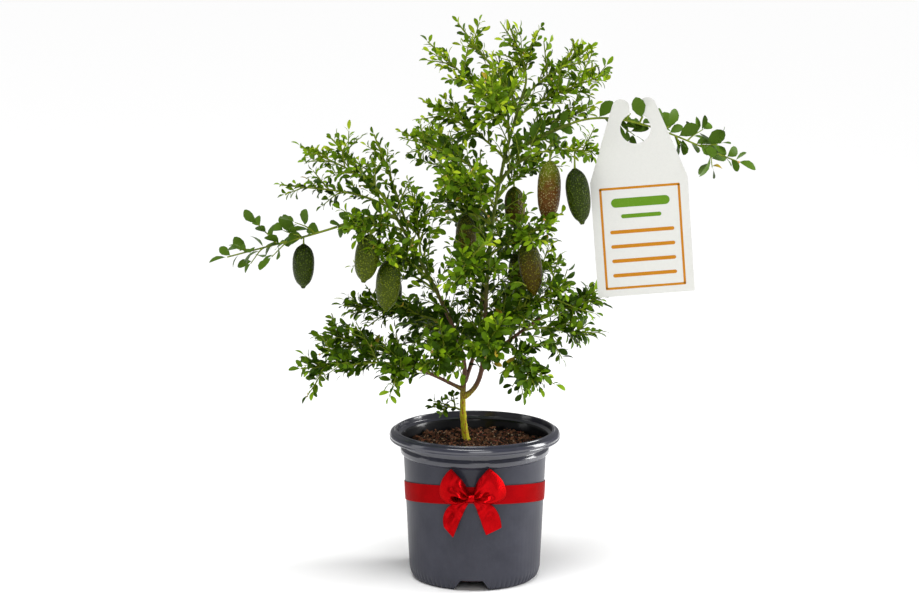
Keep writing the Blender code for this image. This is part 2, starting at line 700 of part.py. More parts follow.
class Space:
    """Knows the space of each mass: nearer to its stem than to any other, and clear of the limbs."""

    def __init__(self, limbs, stems, fruits):
        self.names = list(stems)
        samples = [np.array([tuple(p) for p in stem.points(max(4, round(stem.length / (3 * MM))))])
                   for stem in stems.values()]
        self.starts = np.cumsum([0] + [len(s) for s in samples[:-1]])
        self.stems = np.concatenate(samples)
        solid_points, solid_radii = [], []
        for limb in limbs.values():
            steps = round(limb.length / (2 * MM))
            for step, point in enumerate(limb.points(steps)):
                solid_points.append(tuple(point))
                solid_radii.append(limb.thickness(step / steps))
        for fruit in fruits:
            for step in range(13):
                solid_points.append(tuple(fruit.neck + fruit.axis * (step / 12)))
                solid_radii.append(fruit.thickness(step / 12) + 0.5 * MM)
        self.solid_points = np.array(solid_points)
        self.solid_radii = np.array(solid_radii)

    def holds(self, name, points):
        """True where every point lies inside the space of the named mass."""
        spots = np.array([tuple(p) for p in points])
        if spots[:, 2].min() < POT_HEIGHT + 8 * MM:
            return False
        for spot in spots:
            x, y, z = spot - np.array(TAG_HOLE)
            if abs(y) < 2.2 * MM and abs(x) < TAG_HALF_WIDTH + 18 * MM and TAG_FOOT < z < TAG_TOP + 6 * MM:
                return False
        apart = np.linalg.norm(spots[:, None, :] - self.stems[None, :, :], axis=2)
        nearest = np.minimum.reduceat(apart, self.starts, axis=1)
        own = self.names.index(name)
        others = np.delete(nearest, own, axis=1).min(axis=1)
        if (others - nearest[:, own] < 2 * SPACE_MARGIN).any():
            return False
        solid = np.linalg.norm(spots[:, None, :] - self.solid_points[None, :, :], axis=2) - self.solid_radii
        return solid.min() > SPACE_MARGIN


def side_direction(tangent, angle):
    """A direction square to the tangent, turned round it from the upward side."""
    up = Vector((0, 0, 1)) - tangent * tangent.z
    if up.length < 0.05:
        up = tangent.orthogonal()
    up.normalize()
    return up * math.cos(angle) + tangent.cross(up) * math.sin(angle)


def leaf_shape(base, along, face, length):
    """A leaf of six faces: narrow at the root, widest past the middle, keeled along its underside."""
    across = along.cross(face).normalized() * length * LEAF_WIDTH_SHARE / 2
    keel = across.cross(along).normalized() * length * LEAF_THICKNESS_SHARE
    middle = base + along * length * 0.58
    vertices = [base, base + along * length, middle + across, middle - across, middle - keel]
    faces = [(0, 2, 3), (1, 3, 2), (0, 4, 2), (0, 3, 4), (1, 2, 4), (1, 4, 3)]
    return vertices, faces


def try_leaf(space, name, base, along, face, length, placed):
    """Adds a leaf where it fits; one that would leave the space is skipped."""
    vertices, faces = leaf_shape(base, along, face, length)
    middle = base + along * length * 0.5
    if any((middle - other).length < 0.42 * length for other in placed):
        return None
    checks = vertices[1:] + [base + along * length * 0.3, (vertices[1] + vertices[2]) / 2,
                             (vertices[1] + vertices[3]) / 2]
    if not space.holds(name, checks):
        return None
    placed.append(middle)
    return vertices, faces


def grow(space, name, stem, spread, leaf_length):
    """Twigs turn round the stem by the golden angle, and carry leaves on alternate sides."""
    chance = random.Random(name)
    pieces = [stem.solid(3, 22 * MM)]
    placed = []
    count = max(3, round(stem.length / TWIG_SPACING))
    phase = chance.uniform(0, 2 * math.pi)
    for index in range(count):
        t = 0.16 + 0.78 * (index + 0.5) / count
        place, tangent = stem.at(t)
        side = side_direction(tangent, phase + index * GOLDEN_ANGLE)
        lean = math.radians(chance.uniform(44, 62))
        heading = (tangent * math.cos(lean) + side * math.sin(lean) + Vector((0, 0, 0.22))).normalized()
        reach = spread * (1.05 - 0.55 * t) * chance.uniform(0.8, 1.1)
        facing = chance.uniform(-0.5, 0.5)
        for _ in range(3):
            tip = place + heading * reach + Vector((0, 0, 0.06 * reach))
            checks = [place + (tip - place) * s for s in (0.25, 0.5, 0.75, 1.0)]
            if reach > 0.35 * spread and space.holds(name, checks):
                break
            reach *= 0.75
        else:
            continue
        radii = [TWIG_RADIUS, TWIG_TIP_RADIUS]
        pieces.append(tube([place, tip], radii, 3, turn=0.4 * index))
        leaves = max(1, round(reach / LEAF_SPACING))
        for number in range(leaves):
            share = (number + 0.65) / leaves
            base = place + (tip - place) * share
            turn = facing + number * math.pi + 0.5 * math.pi + 0.35
            out = side_direction(heading, turn)
            along = (heading * 0.62 + out * 0.78).normalized()
            face = Vector((0.25 * math.cos(turn), 0.25 * math.sin(turn), 1))
            size = leaf_length * chance.uniform(0.86, 1.12)
            made = try_leaf(space, name, base, along, face, size, placed)
            if made:
                pieces.append(made)
        end_leaf = try_leaf(space, name, tip - heading * 1.5 * MM, heading, Vector((0.2, 0.1, 1)),
                            leaf_length, placed)
        if end_leaf:
            pieces.append(end_leaf)
    tip, tangent = stem.at(1)
    end_leaf = try_leaf(space, name, tip - tangent * 2 * MM, tangent, Vector((0.1, 0.3, 1)),
                        leaf_length, placed)
    if end_leaf:
        pieces.append(end_leaf)
    return pieces


def tag_spur(stem):
    """A short side spur of the right arm that comes forward through the tag's hole and carries it."""
    side = 8.6 * MM
    hole_edge = TAG_HOLE + Matrix.Rotation(-TAG_TURN, 3, "Y") @ Vector(
        (side, 0, math.sqrt(TAG_HOLE_RADIUS ** 2 - side ** 2)))
    under = hole_edge - Vector((0, 0, GAP + 1.9 * MM))
    root = min(stem.points(80), key=lambda p: (p - under).length)
    front = under + Vector((-1 * MM, -5 * MM, -0.4 * MM))
    behind = under + Vector((0, 3 * MM, -0.3 * MM))
    spur = tube([root, behind, under, front], [1.2 * MM, 1.1 * MM, 1.1 * MM, 1.0 * MM], 6)
    up = Vector((-0.30, -0.08, 0.95)).normalized()
    leaf = leaf_shape(front + Vector((0.6 * MM, 0.3 * MM, -1 * MM)), up, Vector((0, -1, 0.1)), 23 * MM)
    return [spur, leaf]


def build_tree(bark, leafage):
    limbs = make_limbs()
    sides = {"trunk": 10, "right_leader": 8, "left_leader": 7, "rear_leader": 7}
    for name, limb in limbs.items():
        vertices, faces = limb.solid(sides.get(name, 6), 22 * MM if name != "trunk" else 11 * MM)
        made = add_object(name, vertices, faces, bark)
        shade_round(made, 60)
    flare_trunk(bpy.data.objects["trunk"], limbs["trunk"])
    stems = {name: mass_stem(limbs, limb, along, millimetres(*tip), leaf * MM)
             for name, (limb, along, tip, _, leaf) in MASSES.items()}
    fruits = [Fruit(stems, *sizes) for sizes in FRUITS]
    space = Space(limbs, stems, fruits)
    for name, (_, _, _, spread, leaf_length) in MASSES.items():
        pieces = grow(space, name, stems[name], spread * MM, leaf_length * MM)
        for fruit in fruits:
            if fruit.carrier == name:
                pieces += fruit.pieces()
        if name == "right_arm_spray":
            pieces += tag_spur(stems[name])
        thin_out(fuse(name, pieces, leafage))


def flare_trunk(trunk, limb):
    """Widens the foot of the trunk into its root flare and levels its cut at the soil."""
    foot = limb.corners[0]
    for vertex in trunk.data.vertices:
        rise = vertex.co.z - foot.z
        grow_by = 1 + 0.32 * math.exp(-max(rise, 0) / (5 * MM))
        centre = limb.at(min(max(rise / (limb.corners[3].z - foot.z), 0), 1))[0]
        vertex.co.x = centre.x + (vertex.co.x - centre.x) * grow_by
        vertex.co.y = centre.y + (vertex.co.y - centre.y) * grow_by
        if rise < 3 * MM:
            vertex.co.z = foot.z


def build_all():
    clear_scene()
    build_pot(material("moulded_pot", (0.072, 0.078, 0.094), 0.38))
    build_soil(material("potting_mix", (0.045, 0.024, 0.013), 0.95))
    satin = material("satin_ribbon", (0.55, 0.006, 0.010), 0.35)
    build_band(satin)
    build_bow(satin)
    build_tag(material("tag_card", (0.79, 0.79, 0.76), 0.6))
    build_tree(material("bark", (0.16, 0.11, 0.05), 0.7), material("foliage", (0.09, 0.21, 0.02), 0.5))


build_all()
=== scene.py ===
import math
import random
from functools import partial

import bmesh
import bpy
import numpy as np
from mathutils import Matrix, Vector, noise


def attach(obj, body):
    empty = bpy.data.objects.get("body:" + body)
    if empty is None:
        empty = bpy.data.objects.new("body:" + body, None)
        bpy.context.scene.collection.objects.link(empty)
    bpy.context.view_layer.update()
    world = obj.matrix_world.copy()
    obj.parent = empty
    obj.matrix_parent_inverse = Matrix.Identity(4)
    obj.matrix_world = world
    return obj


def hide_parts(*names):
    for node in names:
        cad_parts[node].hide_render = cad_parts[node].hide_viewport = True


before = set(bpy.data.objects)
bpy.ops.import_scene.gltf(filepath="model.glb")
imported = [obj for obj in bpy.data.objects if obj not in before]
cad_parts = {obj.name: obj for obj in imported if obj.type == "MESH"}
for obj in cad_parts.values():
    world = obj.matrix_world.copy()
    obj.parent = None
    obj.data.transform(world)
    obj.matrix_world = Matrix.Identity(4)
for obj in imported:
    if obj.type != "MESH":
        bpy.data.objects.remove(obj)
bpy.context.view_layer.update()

# The pot is one thin polypropylene shell, injection moulded with a rolled rim and a stacking ledge.
# Short flutes stiffen its foot, and three notches there and four holes let water run off. It is slate
# grey, polished from the neck to the ledge, and black below the ledge inside.
MM = 0.001
POT_SEGMENTS = 456
POT_CORNER_STEPS = 4
POT_OUTLINE = (
    # radius, height, corner radius
    (0, 0, 0), (14, 0, 0.5), (14, 8.5, 0.5), (63.5, 8.5, 0.5), (63.5, 0, 0.8), (66.5, 0, 0.8),
    (70.0, 2.8, 2.0), (71.6, 6.0, 0), (72.4, 9.0, 0), (73.0, 12, 0), (73.2, 16, 0), (79.2, 139.5, 1.5),
    (82.8, 142.5, 1.6), (82.8, 147.0, 2.0), (80.6, 150.5, 1.5), (81.6, 157.4, 1.5), (93.2, 157.6, 0.5),
    (94.4, 157.4, 0.4), (94.8, 158.9, 0.4), (94.2, 159.7, 0.3), (95.0, 162.0, 1.2), (93.4, 165.3, 2.5),
    (89.2, 166.9, 0.8), (88.6, 168, 0.7), (86.2, 168, 1.0), (85.6, 162.2, 1.0), (82.0, 160.2, 1.2),
    (81.2, 158.2, 1.0), (78.8, 147, 2.0), (77.8, 140, 2.0), (71.4, 14, 2.5), (69.4, 10.5, 1.0), (0, 10.5, 0),
)
POT_INSIDE_RADIUS = 82.2            # the wall is black below the stacking ledge
POT_NECK = 141                      # the mould is polished above the neck
POT_FINISHES = (
    # name, shade, scuffed shade, roughness, gloss
    ("moulded_polypropylene", "#2F303A", "#373842", 0.42, 0.16),
    ("polished_polypropylene", "#2A2B36", "#323340", 0.36, 0.8),
    ("black_polypropylene", "#050609", "#0B0C10", 0.45, 0.25),
)
FLUTES = 76
FLUTE_DEPTH = 0.9
FLUTE_TOP = 13.0
NOTCH_TURN = math.radians(-93)
NOTCH_OUTLINE = ((-21.5, -1.5), (21.5, -1.5), (12.25, 12.4), (-12.25, 12.4))
FOOT_NOTCHES = 3
DRAIN_HOLES = 4
DRAIN_HOLE_CIRCLE = 45
DRAIN_HOLE_RADIUS = 5


def linear(colour):
    """The linear colour of an sRGB hex value."""
    shares = [int(colour[place:place + 2], 16) / 255 for place in (1, 3, 5)]
    return (*[s / 12.92 if s <= 0.04045 else ((s + 0.055) / 1.055) ** 2.4 for s in shares], 1.0)


def feed(node, inputs):
    """Sets a node's inputs. A socket is linked, and so is a node, by its first live output."""
    for name, value in inputs.items():
        if isinstance(value, bpy.types.Node):
            value = next(socket for socket in value.outputs if socket.enabled)
        if isinstance(value, bpy.types.NodeSocket):
            node.id_data.links.new(value, node.inputs[name])
        else:
            node.inputs[name].default_value = value


def add(tree, kind, inputs=None, **settings):
    """Adds a node with its settings and its inputs. Its kind may go without the family name."""
    families = ("", "ShaderNode", "GeometryNode", "FunctionNode")
    made = tree.nodes.new(next(name + kind for name in families if hasattr(bpy.types, name + kind)))
    for name, value in settings.items():
        setattr(made, name, value)
    feed(made, inputs or {})
    return made


def new_material(name, **constants):
    """A Principled material with its plain numbers set on the shader's own sockets, and what adds
    nodes to it."""
    made = bpy.data.materials.new(name)
    made.use_nodes = True
    shader = made.node_tree.nodes["Principled BSDF"]
    feed(shader, {socket.replace("_", " "): value for socket, value in constants.items()})
    return made, partial(add, made.node_tree), shader


def mottled(name, low, high, mottle, spread=(0, 1, 1), relief=None, grain=None, dull=None, **constants):
    """A surface that wanders between two shades by a noise. The spread is the part of the noise that
    counts and the most that it mixes in. The relief is a strength and a depth, by the same noise or by
    a finer grain, and dull is the range of the roughness."""
    made, node, shader = new_material(name, **constants)
    place = node("TexCoord").outputs["Object"]
    clouds = node("TexNoise", {"Vector": place, **mottle})
    share = node("MapRange", {
        "Value": clouds, "From Min": spread[0], "From Max": spread[1], "To Max": spread[2]})
    colour = node("Mix", {0: share, 6: linear(low), 7: linear(high)}, data_type="RGBA")
    feed(shader, {"Base Color": colour})
    if relief:
        height = node("TexNoise", {"Vector": place, **grain}) if grain else clouds
        feed(shader, {"Normal": node("Bump", {
            "Height": height, "Strength": relief[0], "Distance": relief[1]})})
    if dull:
        feed(shader, {"Roughness": node("MapRange", {
            "Value": clouds, "To Min": dull[0], "To Max": dull[1]})})
    return made


def rounded(corners, steps):
    """The points of an open outline of (x, y, corner radius), with its corners rounded."""
    outline = [Vector(corners[0][:2])]
    for before, here, after in zip(corners, corners[1:], corners[2:]):
        corner = Vector(here[:2])
        back = Vector(before[:2]) - corner
        ahead = Vector(after[:2]) - corner
        half_angle = back.angle(ahead) / 2
        if here[2] == 0 or half_angle > math.radians(88):
            outline.append(corner)
            continue
        cut_back = min(here[2] / math.tan(half_angle), 0.45 * back.length, 0.45 * ahead.length)
        start = corner + back.normalized() * cut_back
        end = corner + ahead.normalized() * cut_back
        for step in range(steps + 1):
            t = step / steps
            outline.append(start * (1 - t) ** 2 + corner * 2 * t * (1 - t) + end * t * t)
    outline.append(Vector(corners[-1][:2]))
    return outline


def new_mesh(name, vertices, faces=(), edges=()):
    mesh = bpy.data.meshes.new(name)
    mesh.from_pydata([tuple(v) for v in vertices], edges, faces)
    mesh.update()
    return mesh


def in_scene(name, data, surface=None):
    made = bpy.data.objects.new(name, data)
    bpy.context.scene.collection.objects.link(made)
    if surface:
        data.materials.append(surface)
    return made


def turned(name, outline, segments, relief=lambda turn, radius, height: 0.0):
    """A closed skin turned round Z, in metres, from an outline in millimetres that starts and ends
    on the axis. The relief gives the change of radius at a turn and a place on the outline."""
    turns = [2 * math.pi * step / segments for step in range(segments)]
    vertices = [Vector((0, 0, outline[0].y * MM))]
    for radius, height in outline[1:-1]:
        for turn in turns:
            shaped = (radius + relief(turn, radius, height)) * MM
            vertices.append(Vector((shaped * math.cos(turn), shaped * math.sin(turn), height * MM)))
    last = len(vertices)
    vertices.append(Vector((0, 0, outline[-1].y * MM)))
    faces = [(0, 1 + (step + 1) % segments, 1 + step) for step in range(segments)]
    for low in range(1, last - segments, segments):
        for step in range(segments):
            after = (step + 1) % segments
            faces.append((low + step, low + after, low + segments + after, low + segments + step))
    top = last - segments
    faces += [(top + step, top + (step + 1) % segments, last) for step in range(segments)]
    return in_scene(name, new_mesh(name, vertices, faces))


def prism(outline, start, end):
    """The corners and faces of a straight prism from one offset of an outline to another."""
    count = len(outline)
    vertices = [point + start for point in outline] + [point + end for point in outline]
    faces = [tuple(reversed(range(count))), tuple(range(count, 2 * count))]
    for index in range(count):
        after = (index + 1) % count
        faces.append((index, after, count + after, count + index))
    return vertices, faces


def keep_modifiers(thing):
    """Makes the modified shape the piece's own mesh, and removes the modifiers."""
    graph = bpy.context.evaluated_depsgraph_get()
    shaped = bpy.data.meshes.new_from_object(thing.evaluated_get(graph))
    thing.modifiers.clear()
    thing.data = shaped


def cut(thing, vertices, faces):
    """Cuts a prism out of a piece."""
    cutter = in_scene("cutter", new_mesh("cutter", vertices, faces))
    hole = thing.modifiers.new("hole", "BOOLEAN")
    hole.operation = "DIFFERENCE"
    hole.object = cutter
    keep_modifiers(thing)
    bpy.data.objects.remove(cutter, do_unlink=True)


def smooth(thing, crease):
    thing.data.shade_smooth()
    thing.data.set_sharp_from_angle(angle=math.radians(crease))


def flute(turn, radius, height):
    """The flutes bite into the foot of the wall and fade out above it."""
    if radius < 68 or not 1.5 < height < FLUTE_TOP:
        return 0.0
    fade = min(1.0, (FLUTE_TOP - height) / 5)
    return -FLUTE_DEPTH * fade * max(0.0, math.cos(turn * FLUTES))


outline = rounded(POT_OUTLINE, POT_CORNER_STEPS)
pot = turned("pot_shell", outline, POT_SEGMENTS, flute)
for name, shade, scuffed, roughness, gloss in POT_FINISHES:
    # Moulded polypropylene: an even waxy colour, cloudy scuffs and a fine sprayed-steel grain.
    pot.data.materials.append(mottled(
        name, shade, scuffed, {"Scale": 34, "Detail": 4, "Roughness": 0.6}, (0.38, 0.68, 1), (0.12, 0.0003),
        {"Scale": 1400, "Detail": 2}, (roughness - 0.06, roughness + 0.1), IOR=1.49, Specular_IOR_Level=0.1,
        Coat_Weight=gloss, Coat_Roughness=0.12, Coat_IOR=1.75))
rim_top = max(range(len(outline)), key=lambda index: outline[index].y)
first_rim = next(index for index in range(rim_top) if outline[index].y > POT_NECK)
first_inside = next(index for index in range(rim_top, len(outline)) if outline[index].x < POT_INSIDE_RADIUS)
for index, face in enumerate(pot.data.polygons):
    ring = index // POT_SEGMENTS
    face.material_index = int(ring >= first_rim) + int(ring >= first_inside)
for index in range(FOOT_NOTCHES):
    spin = Matrix.Rotation(NOTCH_TURN + index * 2 * math.pi / FOOT_NOTCHES, 3, "Z")
    notch = [Vector((0, x, z)) * MM for x, z in NOTCH_OUTLINE]
    vertices, faces = prism(notch, Vector((55 * MM, 0, 0)), Vector((80 * MM, 0, 0)))
    cut(pot, [spin @ v for v in vertices], faces)
for index in range(DRAIN_HOLES):
    turn = math.radians(45 + 360 / DRAIN_HOLES * index)
    centre = Vector((math.cos(turn), math.sin(turn), 0)) * DRAIN_HOLE_CIRCLE
    ring = [(centre + DRAIN_HOLE_RADIUS * Vector((math.cos(a), math.sin(a), 0))) * MM
            for a in (math.radians(15 * step) for step in range(24))]
    cut(pot, *prism(ring, Vector((0, 0, 5 * MM)), Vector((0, 0, 15 * MM))))
smooth(pot, 38)
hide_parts("pot")
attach(pot, "root")

# The potting mix is composted bark and peat, shovelled in and watered down. Its bed is lumpy, and
# crumbs of dark peat, brown bark and a few pale splinters lie loose on top.
SOIL_LEVEL = 150
SOIL_RADIUS = 77.0
SOIL_RELIEF = 5.2
SOIL_SEGMENTS = 150
SOIL_RINGS = 36
SOIL_SIDE = ((0, 10.9), (68.7, 10.9), (71.0, 14.3), (77.2, 140), (77.3, 147.5))
CRUMB_RADIUS = 74.5                 # crumbs lie no further out
CRUMB_PROPORTIONS = Vector((1, 0.55, 0.38))
CRUMB_KINDS = (
    # name, crumbs on a square metre, smallest and largest half length, colour, darker colour, seed
    ("crumbs_peat", 90000, 0.8, 3.2, "#241710", "#0C0705", 3),
    ("crumbs_bark", 52000, 0.9, 4.0, "#8A5E42", "#4A2E1C", 5),
    ("crumbs_red", 24000, 0.8, 2.6, "#A25844", "#5C2E20", 8),
    ("crumbs_pale", 22000, 0.6, 2.6, "#DCC4A4", "#927658", 13),
)


def damp_bark(name, light, dark, size):
    """Damp crumbly matter: blotchy, rough all over, and pitted at the scale of its crumbs."""
    return mottled(name, dark, light, {"Scale": 1 / (size * MM), "Detail": 5, "Roughness": 0.7},
                   (0.35, 0.65, 1), (0.7, 0.0008), Roughness=0.92, Specular_IOR_Level=0.25)


def geometry_tree(name, **sockets):
    """A Geometry Nodes tree with named inputs, each given as its kind and its first value, and what
    adds nodes to it."""
    tree = bpy.data.node_groups.new(name, "GeometryNodeTree")
    for way in ("INPUT", "OUTPUT"):
        tree.interface.new_socket("Geometry", in_out=way, socket_type="NodeSocketGeometry")
    for label, (kind, value) in (*sockets.items(), ("Material", ("Material", None))):
        socket = tree.interface.new_socket(label, in_out="INPUT", socket_type="NodeSocket" + kind)
        if value is not None:
            socket.default_value = value
    return tree, partial(add, tree), tree.nodes.new("NodeGroupInput").outputs


def finish_tree(node, given, geometry):
    """Ends a tree: its instances are made real and take the material."""
    real = node("RealizeInstances", {"Geometry": geometry})
    painted = node("SetMaterial", {"Geometry": real, "Material": given["Material"]})
    node("NodeGroupOutput", {"Geometry": painted})


def grown(name, base, tree, **values):
    """The plain mesh that a tree makes from a base mesh when its inputs are set."""
    made = in_scene(name, base)
    modifier = made.modifiers.new(tree.name, "NODES")
    modifier.node_group = tree
    for item in tree.interface.items_tree:
        if item.name in values:
            modifier[item.identifier] = values[item.name]
    keep_modifiers(made)
    made.data.name = name
    return made


def lump(name, radius, shaped):
    """A low round lump, each corner of which is moved by a rule, for a tree to set in place."""
    work = bmesh.new()
    bmesh.ops.create_icosphere(work, subdivisions=1, radius=radius)
    for vertex in work.verts:
        vertex.co = shaped(vertex.co)
    mesh = bpy.data.meshes.new(name)
    work.to_mesh(mesh)
    work.free()
    return bpy.data.objects.new(name, mesh)


soil_corners = [Vector(corner) for corner in SOIL_SIDE]
for step in range(SOIL_RINGS + 1):
    soil_corners.append(Vector((SOIL_RADIUS * (1 - step / SOIL_RINGS), SOIL_LEVEL)))
soil = turned("soil_bed", soil_corners, SOIL_SEGMENTS)
for vertex in soil.data.vertices:
    if vertex.co.z > (SOIL_LEVEL - 1) * MM:
        heap = noise.fractal(vertex.co * 80, 0.7, 2.1, 4)
        edge = min(1.0, (SOIL_RADIUS * MM - vertex.co.xy.length) / (8 * MM))
        vertex.co.z += (SOIL_RELIEF * heap - 1.2 * (1 - edge)) * MM
soil.data.materials.append(damp_bark("composted_bark", "#553824", "#120A06", 3.0))
smooth(soil, 60)

crumbs_tree, node, given = geometry_tree(
    "loose_crumbs", Crumb=("Object", None), Density=("Float", 1e5), Smallest=("Float", MM),
    Largest=("Float", 2 * MM), Seed=("Int", 0))
position = node("InputPosition")
height = node("SeparateXYZ", {0: position}).outputs["Z"]
level = node("VectorMath", {0: position, 1: (1, 1, 0)}, operation="MULTIPLY")
radius = node("VectorMath", {0: level}, operation="LENGTH")
above = node("Compare", {0: height, 1: (SOIL_LEVEL - 6) * MM})
inside = node("Compare", {0: radius, 1: CRUMB_RADIUS * MM}, operation="LESS_THAN")
on_top = node("BooleanMath", {0: above, 1: inside})
spots = node("DistributePointsOnFaces", {
    "Mesh": given["Geometry"], "Selection": on_top, "Density": given["Density"], "Seed": given["Seed"]})
tumble = node("RandomValue", {
    0: (-0.7, -0.7, 0.0), 1: (0.7, 0.7, 2 * math.pi), "Seed": given["Seed"]}, data_type="FLOAT_VECTOR")
scattered = node("InstanceOnPoints", {"Points": spots,
    "Instance": node("GeometryNodeObjectInfo", {"Object": given["Crumb"]}).outputs["Geometry"],
    "Rotation": node("EulerToRotation", {0: tumble}),
    "Scale": node("RandomValue", {2: given["Smallest"], 3: given["Largest"], "Seed": given["Seed"]})})
finish_tree(node, given, scattered)

soil_pieces = [soil]
for name, density, smallest, largest, light, dark, seed in CRUMB_KINDS:
    knocks = random.Random(seed)
    crumb = lump(name + "_shape", 1.0, lambda place: place * knocks.uniform(0.6, 1.25) * CRUMB_PROPORTIONS)
    soil_pieces.append(grown(name, soil.data, crumbs_tree, Crumb=crumb, Density=density, Seed=seed,
                             Smallest=smallest * MM, Largest=largest * MM,
                             Material=damp_bark("loose_" + name, light, dark, 1.4)))
for piece in soil_pieces:
    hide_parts("soil")
    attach(piece, "root")

# The ribbon is red polyester satin with woven edges, 21 mm wide. A band of it is tied round the wall,
# higher in front than behind, and its ends make a bow of two loops, two tails and a tight knot.
RIBBON_LEVEL = 98
RIBBON_WIDTH = 21
RIBBON_LIFT = 13
RIBBON_THICKNESS = 0.45
BOW_X = -4.5
BOW_LEVEL = 109
SATIN_THREAD = 0.55                 # wider than the real 0.2 mm thread, so that it shows
# The edges of the loops and tails as seen from the front, x and height: four corners to a curve.
LEFT_LOOP = (
    ((-7.5, 113.0), (-10, 123), (-17, 134), (-26, 141.5)),
    ((-8.0, 107.5), (-15, 103), (-24, 100), (-33, 104.0)),
    ((-33, 104.0), (-43, 107), (-40, 130), (-26, 141.5)),
)
RIGHT_LOOP = (
    ((-1.5, 113.0), (0, 124), (5, 134), (15, 143.0)),
    ((-1.0, 107.5), (6, 104), (16, 101), (27, 105.0)),
    ((27, 105.0), (40, 108), (34, 130), (15, 143.0)),
)
LEFT_TAIL = (
    ((-8, 107.5), (-26, 107), (-39, 92), (-34.0, 76.0)),
    ((-6, 104.5), (-12, 95), (-16, 84), (-24, 64.5)),
)
RIGHT_TAIL = (
    ((0, 107.5), (17, 108), (28, 94), (29.0, 74.0)),
    ((-2.5, 104.5), (2, 98), (5, 84), (12, 66.0)),
)


def satin(name, dark, light):
    """Polyester satin: a deep red with a broad silky gloss, fine cross threads and woven edges."""
    made, node, shader = new_material(name, Roughness=0.30, Specular_IOR_Level=0.05, Anisotropic=0.5,
                                      Metallic=0.72, Specular_Tint=linear("#C8141A"))
    weave = node("SeparateXYZ", {0: node("UVMap", uv_map="weave")}).outputs
    place = node("TexCoord").outputs["Object"]
    patches = node("TexNoise", {"Vector": place, "Scale": 60, "Detail": 3})
    colour = node("Mix", {0: patches, 6: linear(dark), 7: linear(light)}, data_type="RGBA")
    middle = node("Math", {0: weave["Y"], 1: 0.5}, operation="SUBTRACT")
    from_middle = node("Math", {0: middle}, operation="ABSOLUTE")
    edge = node("MapRange", {"Value": from_middle, "From Min": 0.455, "From Max": 0.475})
    edged = node("Mix", {0: edge, 6: colour, 7: linear("#8E0A10")}, data_type="RGBA")
    threads = node("Math", {0: weave["X"], 1: 2 * math.pi * RIBBON_WIDTH / SATIN_THREAD},
                   operation="MULTIPLY")
    ribs = node("Math", {0: threads}, operation="SINE")
    raised = node("Math", {0: edge, 1: 2.0, 2: ribs}, operation="MULTIPLY_ADD")
    relief = node("Bump", {"Height": raised, "Strength": 0.25, "Distance": 0.0001})
    feed(shader, {"Base Color": edged, "Normal": relief})
    return made


def wall_radius(height):
    """The radius of the pot's wall, which widens from 73 mm above the flutes to 79.4 mm at its top."""
    return 73 + (height - 12) / 128 * 6.4


def on_wall(x, height, proud):
    """A point in front of the pot's wall, in millimetres, that stands so far proud of it."""
    radius = wall_radius(height) + proud
    return Vector((x, -math.sqrt(radius * radius - x * x), height))


def cloth(rows, closed=False):
    """Corners, faces and weave places of a cloth whose rows of points run across it."""
    across = len(rows[0])
    lengths = [0.0]
    for before, after in zip(rows, rows[1:]):
        lengths.append(lengths[-1] + (after[across // 2] - before[across // 2]).length / RIBBON_WIDTH)
    corners = [point * MM for row in rows for point in row]
    places = [(lengths[i], j / (across - 1)) for i in range(len(rows)) for j in range(across)]
    faces = []
    for i in range(len(rows) - (0 if closed else 1)):
        low, high = i * across, (i + 1) % len(rows) * across
        faces += [(low + j, high + j, high + j + 1, low + j + 1) for j in range(across - 1)]
    return corners, faces, places


def joined(name, shells, label=None):
    """One mesh of several shells, each given as corners, faces and its corners' places on a map."""
    vertices, faces, places = [], [], []
    for corners, shell_faces, corner_places in shells:
        faces += [tuple(corner + len(vertices) for corner in face) for face in shell_faces]
        vertices += corners
        places += corner_places
    mesh = new_mesh(name, vertices, faces)
    if label:
        layer = mesh.uv_layers.new(name=label)
        for loop in mesh.loops:
            layer.data[loop.index].uv = places[loop.vertex_index]
    return mesh


def sewn(name, cloths, surface):
    """One piece made of cloths, with its weave map and its thickness."""
    made = in_scene(name, joined(name, cloths, "weave"), surface)
    thick = made.modifiers.new("thickness", "SOLIDIFY")
    thick.thickness = RIBBON_THICKNESS * MM
    thick.offset = 0
    keep_modifiers(made)
    smooth(made, 60)
    return made


def bump(value, middle, width):
    return math.exp(-((value - middle) / width) ** 2)


def sheet(length_steps, width_steps, point, last=1.0):
    """Rows of points of a cloth, each given by its share along and its share across."""
    return [[point(last * step / length_steps, place / width_steps) for place in range(width_steps + 1)]
            for step in range(length_steps + 1)]


def band_cloth():
    rows = []
    for step in range(240):
        turn = 2 * math.pi * step / 240
        level = RIBBON_LEVEL - RIBBON_LIFT * math.sin(turn)
        gathered = bump(math.sin(turn), -1, 0.02)
        ripple = 0.18 * math.sin(9 * turn) + 0.12 * math.sin(23 * turn + 1)
        row = []
        for share in (-1, -0.6, -0.2, 0.2, 0.6, 1):
            height = level + 0.5 * share * RIBBON_WIDTH * (1 - 0.12 * gathered)
            proud = 0.62 + 0.2 * (1 - share * share) + ripple * (1 - 0.5 * abs(share)) * 0.5
            radius = wall_radius(height) + proud
            row.append(Vector((radius * math.cos(turn), radius * math.sin(turn), height)))
        rows.append(row)
    return cloth(rows, True)


def cubic(corners, t):
    """A point of a cubic curve."""
    a, b, c, d = corners
    r = 1 - t
    return r ** 3 * a + 3 * r * r * t * b + 3 * r * t * t * c + t ** 3 * d


